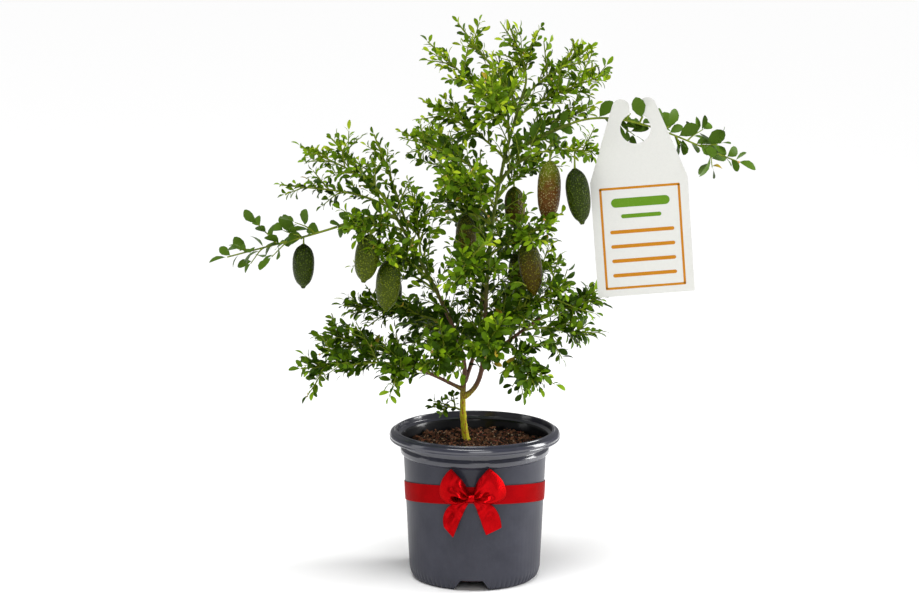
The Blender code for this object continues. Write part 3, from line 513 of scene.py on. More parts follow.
def loop_cloth(edges, fold_out, fold_up, fold_depth, twist):
    """A puffed loop that leaves the knot in front, turns at its outer fold and comes back behind. Pleats
    fan out of the knot, and the front has one deep fold, given by its place and depth."""
    upper, lower, fold = [[Vector(corner) for corner in edge] for edge in edges]

    def point(t, w):
        out = math.sin(math.pi * t)
        v = 2 * w - 1
        flat = cubic(lower, out) * (1 - w) + cubic(upper, out) * w
        flat += (cubic(fold, w) - lower[3].lerp(upper[3], w)) * out
        behind = max(0.0, t - 0.5) * 2
        flat += (Vector((BOW_X, BOW_LEVEL + 6)) - flat) * 0.10 * math.sin(math.pi * behind)
        depth = 7.0 + 3.6 * math.cos(math.pi * t)
        pleats = bump(out, 0.22, 0.2) + 0.4 * bump(out, 0.5, 0.25)
        depth += 2.8 * pleats * math.cos(2.8 * math.pi * v + twist)
        if t < 0.5:
            depth += 6.2 * math.sin(math.pi * out ** 0.8) * (1 - 0.75 * v * v)
            depth += fold_depth * bump(out, fold_out, 0.15) * bump(v, fold_up, 0.24)
            depth -= 3.6 * bump(out, 0.64, 0.10) * bump(v, 0.2 - fold_up, 0.4)
        return on_wall(flat.x, flat.y, depth)

    return cloth(sheet(56, 20, point))


def tail_cloth(edges, flip, overhang, kick):
    """A tail that falls from the knot in soft folds, kicks out at its foot and ends in a slanting cut."""
    outer, inner = [[Vector(corner) for corner in edge] for edge in edges]

    def point(t, share):
        flat = cubic(outer, t).lerp(cubic(inner, t), share)
        proud = 1.6 + overhang * (1 - t) ** 1.2 + kick * t * t + 1.5 * math.sin(math.pi * t) * (1 - share)
        proud += 1.9 * bump(t, 0.34 + 0.12 * share, 0.09) - 1.5 * bump(t, 0.50 + 0.12 * share, 0.12)
        proud += 1.2 * (1 - t) * math.cos(3.0 * math.pi * share) + 0.7 * math.sin(7 * t + 4 * share)
        return on_wall(flat.x, flat.y, proud)

    rows = sheet(36, 12, point)
    return cloth([row[::-1] for row in rows] if flip else rows)


def knot_point(angle, place):
    """The ribbon wound tight round the middle, creased along its turns."""
    share = 2 * place - 1
    swell = (1 - 0.35 * share ** 4) * (1 + 0.09 * math.cos(4 * math.pi * share + 2 * angle))
    centre = on_wall(BOW_X + 5.6 * share, BOW_LEVEL + 0.5 * share, 7.2)
    return centre + Vector((0, 3.9 * swell * math.cos(angle), 4.0 * swell * math.sin(angle)))


# The band's satin is a darker copy of the bow's: painted shade, as the flat band catches less light than the
# loops.
band = sewn("satin_band", [band_cloth()], satin("band_satin_painted_shade", "#7E060A", "#9E0A10"))
bow = sewn("satin_bow", [
    loop_cloth(LEFT_LOOP, 0.46, -0.36, -12, 0.4), loop_cloth(RIGHT_LOOP, 0.44, 0.0, -10, -0.6),
    tail_cloth(LEFT_TAIL, True, 4.5, 10.0), tail_cloth(RIGHT_TAIL, False, 6.0, 2.5),
    cloth(sheet(32, 12, knot_point, 2 * math.pi))], satin("folded_satin", "#94060B", "#BE0C12"))
for piece, cad_name in ((band, "ribbon_band"), (bow, "bow")):
    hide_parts(cad_name)
    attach(piece, "root")

# The hanging tag is die-cut coated card, 0.8 mm thick, slit open above its hole so that it clips over
# a twig. It carries a plain printed frame, a heading bar and ruled lines, in orange and green ink.
TAG_HOLE = Vector((173.5, -28, 507.3))
TAG_HOLE_RADIUS = 16.5
TAG_TURN = Matrix.Rotation(math.radians(-4.4), 3, "Y")
TAG_HALF_WIDTH = 53
TAG_SHOULDER = -56
TAG_FOOT = -183
TAG_TOP = 33
TAG_TOP_HALF_WIDTH = 24
TAG_LOBE_RADIUS = 9.5
TAG_SLOT_HALF_WIDTH = 5
TAG_THICKNESS = 0.8
INK_LAYER = 0.06
FRAME_HALF_WIDTH = 44
FRAME_TOP = -64
FRAME_FOOT = -174
FRAME_STROKE = 2.6
RULED_LINES = (-112, -128, -144, -160)
GREEN_BARS = ((32, -80, 10), (22, -95, 4.5))     # half length, level, height


def arc(centre_x, centre_z, radius, start, end, steps):
    return [(centre_x + radius * math.cos(start + (end - start) * step / steps),
             centre_z + radius * math.sin(start + (end - start) * step / steps)) for step in range(steps + 1)]


def tag_outline():
    """The card's outline in its own plane, from the middle of its hole."""
    slot = math.acos(TAG_SLOT_HALF_WIDTH / TAG_HOLE_RADIUS)
    lobe_z = TAG_TOP - TAG_LOBE_RADIUS
    slope = math.atan2(TAG_HALF_WIDTH - TAG_TOP_HALF_WIDTH, lobe_z - TAG_SHOULDER)
    right = arc(TAG_HALF_WIDTH - 1, TAG_FOOT + 1, 1, -math.pi / 2, 0, 4) + [(TAG_HALF_WIDTH, TAG_SHOULDER)]
    right += arc(TAG_SLOT_HALF_WIDTH + TAG_LOBE_RADIUS, lobe_z, TAG_LOBE_RADIUS, slope, math.pi, 28)
    left = [(-x, z) for x, z in reversed(right)]
    return right + arc(0, 0, TAG_HOLE_RADIUS, slot, -math.pi - slot, 72) + left


def layer(name, outlines, first, last, surface):
    """A flat layer in the card's plane, made of closed outlines, from one distance in front of the
    card's middle to another."""
    shells = []
    for outline in outlines:
        corners, faces = prism([Vector((x, 0, z)) for x, z in outline], Vector((0, -first, 0)),
                               Vector((0, -last, 0)))
        shells.append(([(TAG_HOLE + TAG_TURN @ corner) * MM for corner in corners], faces, []))
    made = in_scene(name, joined(name, shells), surface)
    work = bmesh.new()
    work.from_mesh(made.data)
    bmesh.ops.recalc_face_normals(work, faces=work.faces)
    work.to_mesh(made.data)
    work.free()
    return made


def printed(name, outlines, shade, thin):
    """Screen-printed ink: flat and matt, a little thinner where the card's tooth shows through."""
    ink = mottled(name.split("_")[1] + "_ink", shade, thin, {"Scale": 900, "Detail": 3}, (0.55, 0.8, 0.5),
                  Roughness=0.62, Specular_IOR_Level=0.2)
    return layer(name, outlines, TAG_THICKNESS / 2 + INK_LAYER, TAG_THICKNESS / 2 - 0.1, ink)


def bar(half_length, middle, height):
    """A printed bar with round ends."""
    radius = height / 2
    return (arc(half_length - radius, middle, radius, -math.pi / 2, math.pi / 2, 8)
            + arc(radius - half_length, middle, radius, math.pi / 2, 3 * math.pi / 2, 8))


def side_bar(x):
    half = FRAME_STROKE / 2
    return [(x - half, FRAME_FOOT), (x + half, FRAME_FOOT), (x + half, FRAME_TOP), (x - half, FRAME_TOP)]


# Coated card: a warm off-white with faint fibres and a soft even gloss.
card = mottled("coated_card", "#D1D1CC", "#DBDBD6", {"Scale": 420, "Detail": 4, "Distortion": 1.2},
               relief=(0.1, 0.0002), Roughness=0.55, IOR=1.48)
tag = layer("card_tag", [tag_outline()], -TAG_THICKNESS / 2, TAG_THICKNESS / 2, card)
smooth(tag, 30)
inset = FRAME_HALF_WIDTH - FRAME_STROKE / 2
frame_bars = [bar(FRAME_HALF_WIDTH, FRAME_TOP, FRAME_STROKE), bar(FRAME_HALF_WIDTH, FRAME_FOOT, FRAME_STROKE),
              side_bar(-inset), side_bar(inset)]
lines = [bar(35, level, 4.0) for level in RULED_LINES]
orange = printed("tag_orange_print", frame_bars + lines, "#BA780C", "#C98C34")
green = printed("tag_green_print", [bar(*sizes) for sizes in GREEN_BARS], "#5C8812", "#789F3E")
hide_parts("tag")
for piece in (tag, orange, green):
    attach(piece, "root")

# The trunk and boughs are young citrus wood. The stem was budded a hand's breadth above the soil: it
# is green and smooth below, brown and lightly fissured round the forks, and green again above. The
# yellow-green below is partly the wood's own colour and partly painted light for the shaded foot.
LIMB_SIDES = 20
LIMB_STEP = 1.6                     # millimetres between the rings of a limb
KNUCKLE_SPACING = 14
TRUNK = ((-9, 14, 150.3), (-14, 14, 172), (-14.5, 14, 203), (-11.5, 14, 224), 3.6, 3.0)
BOUGHS = (
    # name, the limb it leaves, the share along it, its two pulls, its end, its two radii
    ("right_leader", "trunk", 0.66, (32, 8, 232), (-15, 10, 335), (54, 12, 545), 2.8, 1.6),
    ("left_leader", "trunk", 1.0, (-12, 13, 258), (-52, -2, 345), (-95, -17, 424), 2.5, 1.7),
    ("rear_leader", "trunk", 0.86, (4, 40, 250), (22, 52, 330), (-4, 70, 425), 2.3, 1.5),
    ("low_left_bough", "trunk", 0.78, (-42, 2, 226), (-60, -6, 238), (-84, -12, 243), 2.0, 1.6),
    ("low_right_bough", "right_leader", 0.27, (30, 4, 258), (50, -4, 280), (72, -9, 294), 2.1, 1.6),
    ("left_arm", "left_leader", 0.93, (-104, -21, 413), (-125, -24, 407), (-150, -25, 399), 2.0, 1.7),
    ("right_arm", "right_leader", 0.86, (50, 4, 484), (72, -8, 497), (104, -16, 511), 2.1, 1.7),
    ("fruit_arm", "right_leader", 0.82, (40, -4, 464), (52, -12, 471), (62, -20, 477), 1.8, 1.5),
)
BARK_SHADES = (
    # dark and light: low on the stem, round the forks, and above them; the low pair is partly painted light
    ("#D0CE26", "#B0602A"), ("#4A3122", "#7D5B47"), ("#3F4C14", "#6B7A24"),
)
CLEARANCE = 0.3


class Limb:
    """A round limb along a cubic curve that thins from its root to its tip, in millimetres."""

    def __init__(self, start, pull_out, pull_in, end, radius, tip_radius):
        self.corners = [Vector(p) for p in (start, pull_out, pull_in, end)]
        self.radius = radius
        self.tip_radius = tip_radius
        line = self.points(24)
        self.length = sum((b - a).length for a, b in zip(line, line[1:]))

    def at(self, t):
        """The place and the direction at a share of the way along."""
        a, b, c, d = self.corners
        s = 1 - t
        heading = s * s * (b - a) + 2 * s * t * (c - b) + t * t * (d - c)
        return cubic(self.corners, t), heading.normalized()

    def points(self, steps):
        return [self.at(step / steps)[0] for step in range(steps + 1)]

    def thickness(self, t):
        return self.radius + (self.tip_radius - self.radius) * t

    def thicknesses(self, steps):
        return [self.thickness(step / steps) for step in range(steps + 1)]


def seat(limb, along, heading, radius):
    """Where a limb of that radius starts, just clear of the limb it leaves."""
    place, tangent = limb.at(along)
    if along >= 1:
        return place + tangent * CLEARANCE
    cosine = abs(heading.dot(tangent))
    sine = max(math.sqrt(1 - cosine * cosine), 0.3)
    return place + heading * ((limb.thickness(along) + CLEARANCE + radius * cosine) / sine)


def wood_lines(name, lines):
    """A base mesh of open lines, each a list of points and radii, with the radius kept on it."""
    points, radii, edges = [], [], []
    for line, thicknesses in lines:
        edges += [(len(points) + step, len(points) + step + 1) for step in range(len(line) - 1)]
        points += [p * MM for p in line]
        radii += [r * MM for r in thicknesses]
    mesh = new_mesh(name, points, edges=edges)
    mesh.attributes.new("thickness", "FLOAT", "POINT").data.foreach_set("value", radii)
    return mesh


def bark():
    """Young bark: green and waxy at the foot and above, brown with pale cracks round the forks. The foot's
    yellow-green is partly painted light.
    """
    made, node, shader = new_material("citrus_bark", Roughness=0.62, Specular_IOR_Level=0.2)
    place = node("TexCoord").outputs["Object"]
    height = node("SeparateXYZ", {0: place}).outputs["Z"]
    along = node("Mapping", {"Vector": place, "Scale": (1, 1, 0.22)})
    streaks = node("TexNoise", {"Vector": along, "Scale": 900, "Detail": 4, "Roughness": 0.65})
    wander = node("Math", {0: streaks, 1: 0.03, 2: height}, operation="MULTIPLY_ADD")
    browned, greened = [
        node("MapRange", {"Value": wander, "From Min": start, "From Max": end},
             interpolation_type="SMOOTHSTEP")
        for start, end in ((0.205, 0.232), (0.30, 0.36))]
    flecks = node("MapRange", {"Value": streaks, "From Min": 0.50, "From Max": 0.58})
    # The low colours are lighter than the bark's own: painted light on the shaded foot of the trunk.
    low, brown, high = [
        node("Mix", {0: share, 6: linear(dark), 7: linear(light)}, data_type="RGBA")
        for share, (dark, light) in zip((flecks, streaks, streaks), BARK_SHADES)]
    forks = node("Mix", {0: browned, 6: low, 7: brown}, data_type="RGBA")
    colour = node("Mix", {0: greened, 6: forks, 7: high}, data_type="RGBA")
    cracks = node("Bump", {"Height": streaks, "Strength": 0.6, "Distance": 0.0006})
    feed(shader, {"Base Color": colour, "Normal": cracks})
    return made


def finish_rough(node, given, geometry, stretch, detail):
    """Ends a tree with a smooth skin that a noise of the given grain raises and sinks."""
    place = node("VectorMath", {0: node("InputPosition"), 1: stretch}, operation="MULTIPLY")
    fineness = node("Math", {0: 1.0, 1: given["Grain"]}, operation="DIVIDE")
    fissures = node("TexNoise", {"Vector": place, "Scale": fineness, "Detail": detail})
    centred = node("Math", {0: fissures, 1: 0.5}, operation="SUBTRACT")
    depth = node("Math", {0: centred, 1: given["Relief"]}, operation="MULTIPLY")
    shift = node("VectorMath", {0: node("InputNormal"), "Scale": depth}, operation="SCALE")
    rough_skin = node("SetPosition", {"Geometry": geometry, "Offset": shift})
    finish_tree(node, given, node("SetShadeSmooth", {"Geometry": rough_skin}))


wood_tree, node, given = geometry_tree(
    "round_wood", Sides=("Int", 8), Relief=("Float", 0.0), Grain=("Float", MM))
round_skin = node("CurveToMesh", {"Curve": node("MeshToCurve", {"Mesh": given["Geometry"]}),
    "Profile Curve": node("CurvePrimitiveCircle", {"Resolution": given["Sides"], "Radius": 1}),
    "Scale": node("InputNamedAttribute", {"Name": "thickness"}), "Fill Caps": True})
finish_rough(node, given, round_skin, (1, 1, 0.25), 3)

limbs = {"trunk": Limb(*TRUNK)}
for name, parent, along, pull_out, pull_in, end, radius, tip_radius in BOUGHS:
    place, tangent = limbs[parent].at(along)
    heading = (Vector(pull_out) - place).normalized() if along < 1 else tangent
    start = seat(limbs[parent], along, heading, radius)
    pull_out = start + heading * (Vector(pull_out) - start).length
    limbs[name] = Limb(start, pull_out, pull_in, end, radius, tip_radius)
limb_lines = []
for name, limb in limbs.items():
    steps = round(limb.length / LIMB_STEP)
    line = limb.points(steps)
    radii = limb.thicknesses(steps)
    knuckles = random.Random(name)
    for _ in range(round(limb.length / KNUCKLE_SPACING)):
        spot = knuckles.randrange(4, max(5, steps - 2))
        for step in range(max(0, spot - 2), min(steps, spot + 3)):
            radii[step] *= 1 + 0.10 * bump(step, spot, 1.2)
    # The foot flares and runs on into the limb that bears it, or the trunk's into the soil. The left
    # leader goes on from the trunk's own tip, so that it needs less.
    flare, fade, root, sunk = 0.28, 4, 1.02, limb.at(0)[1] * (2 if name == "left_leader" else 4.5)
    if name == "trunk":
        flare, fade, root, sunk = 0.32, 5, 1.1, Vector((0, 0, 3))
    radii = [r * (1 + flare * math.exp(-step * LIMB_STEP / fade)) for step, r in enumerate(radii)]
    limb_lines.append(([line[0] - sunk] + line, [radii[0] * root] + radii))
wood = grown("trunk_and_boughs", wood_lines("wood_lines", limb_lines), wood_tree, Sides=LIMB_SIDES,
             Relief=0.55 * MM, Grain=1.5 * MM, Material=bark())
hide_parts(*limbs)
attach(wood, "root")

# The foliage grows in sprays. Each has a stem that leaves its bough, twigs that turn round the stem by
# the golden angle, side shoots on the twigs, and small obovate leaves set alternately, with thin spines
# in their axils. A spray keeps to the space that is nearer to its own stem than to any other.
TWIG_SPACING = 18
LEAF_SPACING = 11
LEAF_STEP = 4.6                     # between the leaves of a shoot
LEAF_SIZE = 14.2                    # a little larger than life, for the count
ARM_LEAF_STEPS = {"left_arm_spray": 9.0, "right_arm_spray": 5.2}
ARM_LEAF_SIZE = 26.0
GOLDEN_ANGLE = math.radians(137.5)
SPACE_MARGIN = 0.5
LOWEST_LEAF = 182
LOW_SPRAYS = 330                    # below this height leaves are larger and shoots closer
ARM_LEAF_GAP = 5.6                  # between the leaves on the arms themselves
LIMB_SHOOT_GAP = 8
SPRAYS = {
    # name: the limb it grows on, the share along it, the tip of its stem, its spread, its shoots
    "low_left_tip": ("low_left_bough", 1.0, (-195, -30, 243), 40, 25),
    "low_left_rear": ("low_left_bough", 0.62, (-180, 42, 268), 40, 25),
    "low_left_front": ("low_left_bough", 0.45, (-98, -88, 254), 38, 24),
    "low_left_upper": ("left_leader", 0.36, (-150, 30, 304), 38, 25),
    "basal_sprout": ("trunk", 0.45, (-48, -4, 196), 20, 18),
    "low_right_tip": ("low_right_bough", 1.0, (142, -18, 322), 38, 25),
    "low_right_rear": ("low_right_bough", 0.66, (130, 46, 266), 42, 25),
    "low_right_front": ("low_right_bough", 0.42, (66, -78, 234), 42, 25),
    "low_right_high_rear": ("right_leader", 0.42, (96, 40, 358), 40, 25),
    "low_right_high_front": ("right_leader", 0.38, (104, -56, 344), 42, 25),
    "front_low_left": ("left_leader", 0.18, (-46, -100, 268), 44, 25),
    "front_low_right": ("right_leader", 0.32, (16, -104, 282), 44, 25),
    "rear_low_left": ("rear_leader", 0.30, (-78, 108, 268), 46, 25),
    "rear_low_right": ("rear_leader", 0.36, (62, 120, 280), 46, 25),
    "left_mid_rear": ("left_leader", 0.56, (-128, 56, 356), 42, 25),
    "left_mid_front": ("left_leader", 0.60, (-118, -94, 398), 38, 25),
    "left_fruit_spray": ("left_leader", 0.86, (-138, -104, 412), 34, 24),
    "front_mid": ("right_leader", 0.56, (-16, -98, 378), 44, 25),
    "centre_left": ("left_leader", 0.72, (-66, -46, 442), 40, 25),
    "right_fruit_spray": ("right_leader", 0.64, (86, -66, 412), 34, 24),
    "centre_fruit_spray": ("right_leader", 0.72, (-44, 54, 424), 38, 25),
    "rear_mid_right": ("rear_leader", 0.66, (74, 88, 376), 44, 25),
    "rear_mid": ("rear_leader", 0.80, (-6, 148, 392), 44, 25),
    "rear_high_left": ("rear_leader", 1.0, (-62, 96, 492), 44, 25),
    "right_rear_spray": ("right_leader", 0.78, (78, 62, 466), 38, 25),
    "left_arm_spray": ("left_arm", 1.0, (-274, -30, 365), 18, 25),
    "left_high_outer": ("left_leader", 0.97, (-217, 26, 440), 22, 23),
    "left_high_front": ("left_leader", 1.0, (-190, -42, 494), 36, 25),
    "left_high_rear": ("left_leader", 0.90, (-160, 44, 490), 27, 24),
    "left_high_inner": ("left_leader", 0.80, (-111, 2, 500), 19, 21),
    "centre_high_left": ("right_leader", 0.81, (-82, -22, 506), 36, 25),
    "centre_high_rear": ("right_leader", 0.87, (-56, 42, 530), 31, 24),
    "front_high_left": ("right_leader", 0.77, (-38, -88, 468), 42, 25),
    "top_left": ("right_leader", 0.925, (-53, -18, 604), 36, 25),
    "top_centre": ("right_leader", 0.965, (-20, 22, 620), 23, 23),
    "top_right": ("right_leader", 1.0, (40, -8, 618), 38, 25),
    "top_far_right": ("right_leader", 0.975, (128, 34, 592), 36, 25),
    "top_rear": ("right_leader", 0.905, (34, 100, 562), 44, 25),
    "top_front": ("right_leader", 0.915, (10, -90, 562), 42, 25),
    "right_high": ("right_leader", 0.945, (152, -22, 572), 34, 25),
    "right_high_low": ("right_leader", 0.885, (134, 36, 528), 34, 25),
    "right_arm_spray": ("right_arm", 1.0, (290, -20, 472), 20, 25),
    "fruit_arm_spray": ("fruit_arm", 1.0, (142, -56, 488), 24, 22),
}
FRUITS = (
    # the spray, the share along its stem, the drop of the neck, length, lean, radius, kind
    ("left_arm_spray", 0.34, 8, 49, -1, 12.0, "dark"),
    ("left_fruit_spray", 0.69, 9, 53, -8, 13.5, "green"),
    ("left_mid_front", 0.73, 8, 57, -5, 13.5, "green"),
    ("centre_fruit_spray", 0.59, 7, 56, 0, 11.5, "brown"),
    ("right_rear_spray", 0.46, 7, 48, 2, 11.5, "brown"),
    ("fruit_arm_spray", 0.32, 11, 69, -2, 12.8, "red"),
    ("fruit_arm_spray", 0.71, 20, 61, 9, 13.0, "dark"),
    ("right_fruit_spray", 0.68, 8, 60, 9, 12.5, "brown"),
    ("rear_mid", 0.80, 7, 54, 2, 12.5, "green"),
    ("rear_mid_right", 0.80, 7, 52, 2, 12.0, "brown"),
    ("left_mid_rear", 0.70, 7, 50, -2, 12.0, "dark"),
)
FRUIT_OUTLINE = (
    # shares of the length, and the shares of the full radius there
    (0, 0.015, 0.04, 0.08, 0.14, 0.22, 0.32, 0.44, 0.56, 0.68, 0.78, 0.86, 0.915, 0.94, 0.965, 0.99, 1.0),
    (0.16, 0.24, 0.41, 0.60, 0.77, 0.90, 0.98, 1.0, 0.98, 0.91, 0.79, 0.63, 0.44, 0.29, 0.22, 0.20, 0.12),
)
# Thin sprays with fewer and shorter shoots, between which the sky shows.
SLENDER = ("left_high_outer", "left_high_front", "left_high_rear", "left_high_inner", "left_mid_rear",
           "centre_high_left", "top_left", "top_centre", "basal_sprout")
UP = Vector((0, 0, 1))


def spray_stem(limb_name, along, reach_to, spread, shoot_length):
    """The stem of a spray leaves its limb outwards and lifts a little on its way to the tip."""
    limb = limbs[limb_name]
    place, tangent = limb.at(along)
    direct = (Vector(reach_to) - place).normalized()
    tip = Vector(reach_to) - direct * shoot_length * 0.85
    heading = tangent if along >= 1 else (direct + UP * 0.35).normalized()
    start = seat(limb, along, heading, 0.75)
    reach = (tip - start).length
    return Limb(start, start + heading * reach * 0.34, tip - (tip - start - heading * reach * 0.25) * 0.36,
                tip, 1.5, 1.0)


class Fruit:
    """A finger-shaped fruit that hangs from its spray's stem on a short stalk."""

    def __init__(self, carrier, share, drop, length, lean, radius, kind):
        self.kind = kind
        self.carrier = carrier
        self.spot = stems[carrier].at(share)[0]
        self.neck = self.spot - UP * drop
        self.axis = Vector((lean, 0, -length))
        self.radius = radius

    def thickness(self, t):
        """A blunt neck, a long full middle and a small nipple."""
        return self.radius * float(np.interp(t, *FRUIT_OUTLINE))


class Space:
    """Knows the space of each spray: nearer to its stem than to any other, and clear of the limbs."""

    def __init__(self):
        self.names = list(stems)
        samples = [np.array(stem.points(max(4, round(stem.length / 3)))) for stem in stems.values()]
        self.starts = np.cumsum([0] + [len(s) for s in samples[:-1]])
        self.stems = np.concatenate(samples)
        places, radii = [], []
        for limb in limbs.values():
            steps = round(limb.length / 2)
            places += limb.points(steps)
            radii += limb.thicknesses(steps)
        for fruit in fruits:
            places += [fruit.neck + fruit.axis * (step / 12) for step in range(13)]
            radii += [fruit.thickness(step / 12) + 0.5 for step in range(13)]
        self.solid_places = np.array(places)
        self.solid_radii = np.array(radii)

    def holds(self, name, points):
        """True for each point that lies inside the space of the named spray, or of any for None."""
        spots = np.array(points)
        held = spots[:, 2] > LOWEST_LEAF
        # Growth keeps off the card's slab, the strip in front of it, and the air above its slot.
        x, y, z = (spots - np.array(TAG_HOLE)).T
        beside = (z > TAG_FOOT) & (z < TAG_TOP + 6)
        held &= ~(beside & (abs(y) < 2.2) & (abs(x) < TAG_HALF_WIDTH + 18))
        held &= ~(beside & (y < 2.2) & (abs(x) < TAG_TOP_HALF_WIDTH + 14))
        held &= ~((abs(x) < TAG_TOP_HALF_WIDTH) & (z > 17) & (z < TAG_TOP + 30))
        if name:
            apart = np.linalg.norm(spots[:, None, :] - self.stems[None, :, :], axis=2)
            nearest = np.minimum.reduceat(apart, self.starts, axis=1)
            own = self.names.index(name)
            held &= np.delete(nearest, own, axis=1).min(axis=1) - nearest[:, own] > 2 * SPACE_MARGIN
        solid = np.linalg.norm(spots[:, None, :] - self.solid_places[None, :, :], axis=2) - self.solid_radii
        return held & (solid.min(axis=1) > SPACE_MARGIN)


def side_direction(tangent, angle):
    """A direction square to the tangent, turned round it from the upward side."""
    up = UP - tangent * tangent.z
    if up.length < 0.05:
        up = tangent.orthogonal()
    up.normalize()
    return up * math.cos(angle) + tangent.cross(up) * math.sin(angle)


def bowed(start, end, rise, steps):
    """A line from start to end that bows by a rise at its middle."""
    return [start.lerp(end, step / steps) + UP * (4 * rise * (step / steps) * (1 - step / steps))
            for step in range(steps + 1)]


def leaf_tint_painted_shade_and_light(name, outer, height, chance):
    """Which tint a leaf takes: deep low inside its spray and low in the crown, bright higher up and
    towards the tips, and young at the very tips. Deep is painted shade, and bright is partly painted light.
    """
    draw = chance.random()
    if draw < 0.006:
        return "turning"
    if name in ARM_LEAF_STEPS:
        return "arm" if draw < 0.92 else "middle"
    # Painted shade and light: the tint darkens deeper inside the spray and lower in the crown, and lightens
    # higher up.
    place = outer + chance.uniform(-0.4, 0.3) + (height - 435) / 850
    if place < 0.3:
        return "deep"
    if place < 0.66:
        return "middle"
    return "bright" if place < 0.93 else "young"


def leafy(name, line, start, outer, chance):
    """Sets leaves alternately along a line of wood from a share of it on, and one at its end."""
    lengths = [0.0]
    for before, after in zip(line, line[1:]):
        lengths.append(lengths[-1] + (after - before).length)
    count = max(1, round(lengths[-1] * (1 - start) / ARM_LEAF_STEPS.get(name, LEAF_STEP)))
    phase = chance.uniform(0, 2 * math.pi)
    wanted = []
    for number in range(count + 1):
        share = start + (1 - start) * min(1.0, (number + 0.5) / count)
        here = share * lengths[-1]
        segment = min(max(1, int(np.searchsorted(lengths, here))), len(line) - 1)
        heading = line[segment] - line[segment - 1]
        base = line[segment - 1] + heading * ((here - lengths[segment - 1]) / heading.length)
        heading.normalize()
        out = side_direction(heading, phase + number * (math.pi + 0.2))
        along = heading
        if number < count:
            along = (heading * chance.uniform(0.4, 0.85) + out * 0.8 + UP * 0.1).normalized()
        size = leaf_sizes[name] * chance.uniform(0.7, 1.15) * (1 - 0.2 * share)
        outwards = Vector((base.x, base.y - 10, 0)).normalized()
        face = (UP * 0.75 + outwards * 0.75
                + Vector([chance.uniform(-0.65, 0.65) for _ in range(3)])).normalized()
        wanted.append((base, along, face, size))
        side_growth = chance.random()
        if side_growth < 0.2 and number < count:
            thorn_way = (heading * 0.5 + out + heading.cross(out) * chance.uniform(-0.4, 0.4)).normalized()
            spines.append((base, thorn_way, thorn_way.orthogonal(), chance.uniform(4, 8)))
        elif side_growth > 0.994:
            buds.append((base, along, face, chance.uniform(2.4, 3.8)))
    tips = [base + along * size * reach for base, along, _, size in wanted for reach in (0.55, 1.0)]
    fits = space.holds(name, tips).reshape(-1, 2).all(axis=1)
    for index, leaf in enumerate(wanted):
        if fits[index]:
            kind = leaf_tint_painted_shade_and_light(name, outer + 0.3 * index / len(wanted), leaf[0].z, chance)
            leaves[kind].append(leaf)


def dress(name, line, radii, start, outer, chance):
    """Adds a line of wood as far as it stays in the spray's space, with its leaves."""
    kept = space.holds(name, line[1:])
    if not kept.all():
        line = line[:1 + int(np.argmin(kept))]
        radii = radii[:len(line)]
    if len(line) > 1:
        twig_lines.append((line, radii))
        leafy(name, line, start, outer, chance)


def shoot(name, base, heading, length, outer, chance):
    """A side shoot: a thin line of wood that bows a little and is leafy all along."""
    steps = max(3, round(length / 5))
    line = bowed(base, base + heading * length, chance.uniform(-0.02, 0.14) * length, steps)
    dress(name, line, [0.75 - 0.35 * step / steps for step in range(steps + 1)], 0.1, outer, chance)


def twig(name, place, heading, reach, facing, outer, rule, chance):
    """A twig goes on past the coarse one by a leafy end, and carries shoots on alternate sides."""
    shoot_length = SPRAYS[name][4]
    tip = place + heading * reach + UP * 0.06 * reach
    end = tip + (heading + UP * chance.uniform(-0.25, 0.15)) * 0.66 * shoot_length
    line = bowed(place, tip, 0.04 * reach, max(4, round(reach / 5)))
    line += [tip.lerp(end, share) for share in (0.33, 0.66, 1.0)]
    last = len(line) - 1
    dress(name, line, [1.0 - 0.5 * step / last for step in range(last + 1)], 0.08, outer, chance)
    count = max(1, round(reach / LEAF_SPACING))
    for number in range(count):
        base = place + (tip - place) * ((number + 0.65) / count)
        turn = facing + number * math.pi + 0.5 * math.pi + 0.35
        size = shoot_length * rule.uniform(0.86, 1.12)
        if name not in ARM_LEAF_STEPS:
            out = (heading * 0.72 + side_direction(heading, turn) * 0.68).normalized()
            shoot(name, base, out, size * chance.uniform(0.35, 0.85), outer + 0.2 * number / count, chance)


